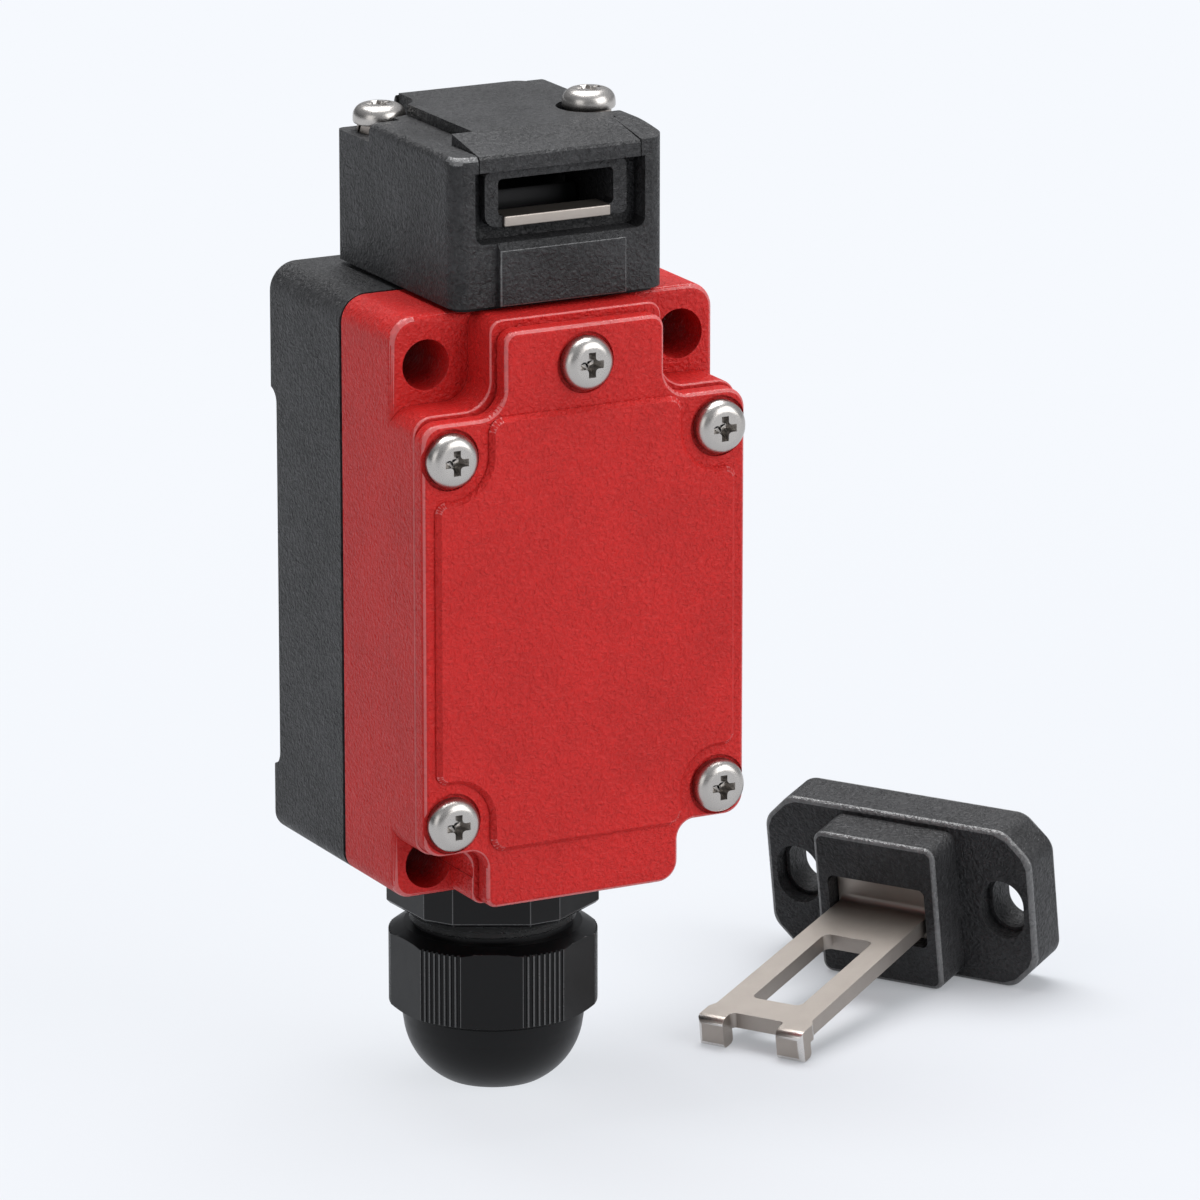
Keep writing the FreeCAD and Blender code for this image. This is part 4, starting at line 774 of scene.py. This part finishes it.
def round_plate_corners(piece):
    """Rounds both ends of the actuator plate's cut corners, over its thickness and its rim."""
    corner_turn = math.radians(45)
    near_turn = math.radians(4)
    shortest = 5 * MM
    longest = 7 * MM
    rim = 1.2 * MM
    lines = []

    def cut_corner(edge, turn):
        """Notes each edge about as long as the plate is thick at which the outline turns by 45 degrees."""
        if shortest < edge.calc_length() < longest and abs(turn - corner_turn) < near_turn:
            start, end = (vertex.co.copy() for vertex in edge.verts)
            lines.append((start, (end - start).normalized()))
        return False

    def along_corner(edge, turn):
        return any(all((vertex.co - start).cross(way).length < rim for vertex in edge.verts)
                   for start, way in lines)

    select_edges(piece, cut_corner)
    select_edges(piece, along_corner)
    radius = bpy.context.scene.switch_finish.plate_round
    bpy.ops.mesh.bevel(offset=radius * math.tan(corner_turn / 2), segments=5, clamp_overlap=True)


class SWITCH_OT_actuator(bpy.types.Operator):
    """Dress the actuator: moulded base, hooked tongue and rivets"""
    bl_idname = "switch.actuator"
    bl_label = "Actuator"

    def execute(self, context):
        finish = context.scene.switch_finish
        rivets = [((low + high) / 2, (high - low).length) for low, high in solids_of("tongue_rivets")]

        dress("actuator_base", "actuator", "dark_shell", dark_finishes, 1.5 * finish.edge_round,
              off_axis=0.0, shaped=round_plate_corners)
        dress("actuator_tongue", "actuator", "nickel_steel", ["nickel", "nickel edge highlight"], finish.metal_round,
              plain_places=rivets, off_axis=0.0)
        dress("tongue_rivets", "actuator", "nickel_steel", ["nickel"])
        return {"FINISHED"}


def floor_surface(rgb):
    # seamless studio paper: soft shadows round the actuator, fainter ones further out, then plain white
    made = bpy.data.materials.new("studio_sweep")
    made.use_nodes = True
    tree = made.node_tree
    tree.nodes.clear()
    lit = put(tree, "ShaderNodeBsdfDiffuse", {"Color": shade(rgb, 0.53)})
    glow = put(tree, "ShaderNodeEmission", {"Color": shade(rgb, 1.0), "Strength": 1.0})
    where = put(tree, "ShaderNodeTexCoord").outputs["Object"]
    centred = put(tree, "ShaderNodeMapping", {"Vector": where, "Location": (-0.062, 0.024, 0.0)})
    reach = put(tree, "ShaderNodeVectorMath", {0: centred.outputs["Vector"]}, operation="LENGTH")
    away = reach.outputs["Value"]
    near = put(tree, "ShaderNodeMapRange", {"Value": away, "From Min": 0.02, "From Max": 0.064,
                                            "To Min": 0.25, "To Max": 0.76},
               interpolation_type="SMOOTHSTEP")
    far = put(tree, "ShaderNodeMapRange", {"Value": away, "From Min": 0.12, "From Max": 0.32,
                                           "To Min": 0.0, "To Max": 0.24},
              interpolation_type="SMOOTHSTEP")
    plain = put(tree, "ShaderNodeMath", {0: near.outputs["Result"], 1: far.outputs["Result"]},
                operation="ADD")
    path = put(tree, "ShaderNodeLightPath")
    seen = put(tree, "ShaderNodeMath", {0: path.outputs["Is Camera Ray"], 1: path.outputs["Is Glossy Ray"]},
               operation="MAXIMUM")
    share = put(tree, "ShaderNodeMath", {0: seen.outputs[0], 1: plain.outputs[0]}, operation="MULTIPLY")
    both = put(tree, "ShaderNodeMixShader", {"Fac": share.outputs[0]})
    tree.links.new(lit.outputs["BSDF"], both.inputs[1])
    tree.links.new(glow.outputs["Emission"], both.inputs[2])
    out = put(tree, "ShaderNodeOutputMaterial")
    tree.links.new(both.outputs["Shader"], out.inputs["Surface"])
    return made


def lamp(name, offset, target, size, power):
    """A soft square lamp, so far from its target in metres, with its side in metres and its watts."""
    place = target + Vector(offset)
    bpy.ops.object.light_add(type="AREA", location=place)
    made = bpy.context.object
    made.name = name
    made.data.shape = "SQUARE"
    made.data.size = size
    made.data.energy = power
    made.rotation_euler = (target - place).to_track_quat("-Z", "Y").to_euler()


class SWITCH_OT_stage(bpy.types.Operator):
    """Add the floor, the soft lamps and the camera"""
    bl_idname = "switch.stage"
    bl_label = "Stage"

    def execute(self, context):
        stage = context.scene.switch_stage
        floor_z = cad_box[0][2]
        bpy.ops.object.select_all(action="DESELECT")
        bpy.ops.mesh.primitive_plane_add(size=2 * stage.floor_size, location=(0, 0, floor_z))
        floor = context.object
        floor.name = "studio_floor"
        floor.data.materials.append(floor_surface(stage.backdrop))

        target = Vector(stage.target)
        lamp("overhead_softbox", (0.05, 0.3, 1.05), target, 0.9, 16.5)
        lamp("front_right_softbox", (0.7, -1.1, 0.65), target, 1.1, 13.6)
        lamp("left_fill", (-1.2, -0.5, 0.4), target, 0.8, 2.7)

        world = bpy.data.worlds.new("studio_world")
        context.scene.world = world
        world.use_nodes = True
        tree = world.node_tree
        tree.nodes.clear()
        way = put(tree, "ShaderNodeTexCoord").outputs["Generated"]
        bright_side = (0.35, -0.1, 0.93)
        toward = put(tree, "ShaderNodeVectorMath", {0: way, 1: bright_side}, operation="DOT_PRODUCT")
        strength = put(tree, "ShaderNodeMapRange", {"Value": toward.outputs["Value"], "From Min": -0.2,
                                                    "From Max": 0.9, "To Min": 0.12, "To Max": 0.66})
        sky = put(tree, "ShaderNodeBackground", {"Color": shade(stage.backdrop, 1.0),
                                                 "Strength": strength.outputs["Result"]})
        out = put(tree, "ShaderNodeOutputWorld")
        tree.links.new(sky.outputs["Background"], out.inputs["Surface"])

        level = stage.distance * math.cos(stage.elevation)
        place = target + Vector((-level * math.sin(stage.azimuth), -level * math.cos(stage.azimuth),
                                 stage.distance * math.sin(stage.elevation)))
        bpy.ops.object.camera_add(location=place)
        camera = context.object
        camera.name = "photo_camera"
        camera.rotation_euler = (target - place).to_track_quat("-Z", "Y").to_euler()
        camera.data.sensor_width = 36.0
        camera.data.lens = stage.lens
        camera.data.clip_end = 50.0
        context.scene.camera = camera
        context.scene.view_settings.view_transform = "Standard"
        return {"FINISHED"}


steps = (SWITCH_OT_shells, SWITCH_OT_seals, SWITCH_OT_screws, SWITCH_OT_head, SWITCH_OT_head_metal,
         SWITCH_OT_contacts, SWITCH_OT_gland, SWITCH_OT_actuator, SWITCH_OT_stage)
settings = (("switch_colours", SwitchColours), ("switch_finish", SwitchFinish),
            ("switch_screws", SwitchScrews), ("switch_gland", SwitchGland), ("switch_stage", SwitchStage))


class SWITCH_PT_panel(bpy.types.Panel):
    """Lists the sizes, colours and steps of the switch"""
    bl_label = "Tongue interlock switch"
    bl_space_type = "VIEW_3D"
    bl_region_type = "UI"
    bl_category = "Switch"

    def draw(self, context):
        for group_name, group in settings:
            values = getattr(context.scene, group_name)
            for prop in group.__annotations__:
                self.layout.prop(values, prop)
        for step in steps:
            self.layout.operator(step.bl_idname)


def register():
    for name, group in settings:
        bpy.utils.register_class(group)
        setattr(bpy.types.Scene, name, bpy.props.PointerProperty(type=group))
    for step in steps:
        bpy.utils.register_class(step)
    bpy.utils.register_class(SWITCH_PT_panel)


def unregister():
    bpy.utils.unregister_class(SWITCH_PT_panel)
    for step in reversed(steps):
        bpy.utils.unregister_class(step)
    for name, group in reversed(settings):
        delattr(bpy.types.Scene, name)
        bpy.utils.unregister_class(group)


def main():
    register()
    for step in steps:
        group, name = step.bl_idname.split(".")
        getattr(getattr(bpy.ops, group), name)()


if __name__ == "__main__":
    main()
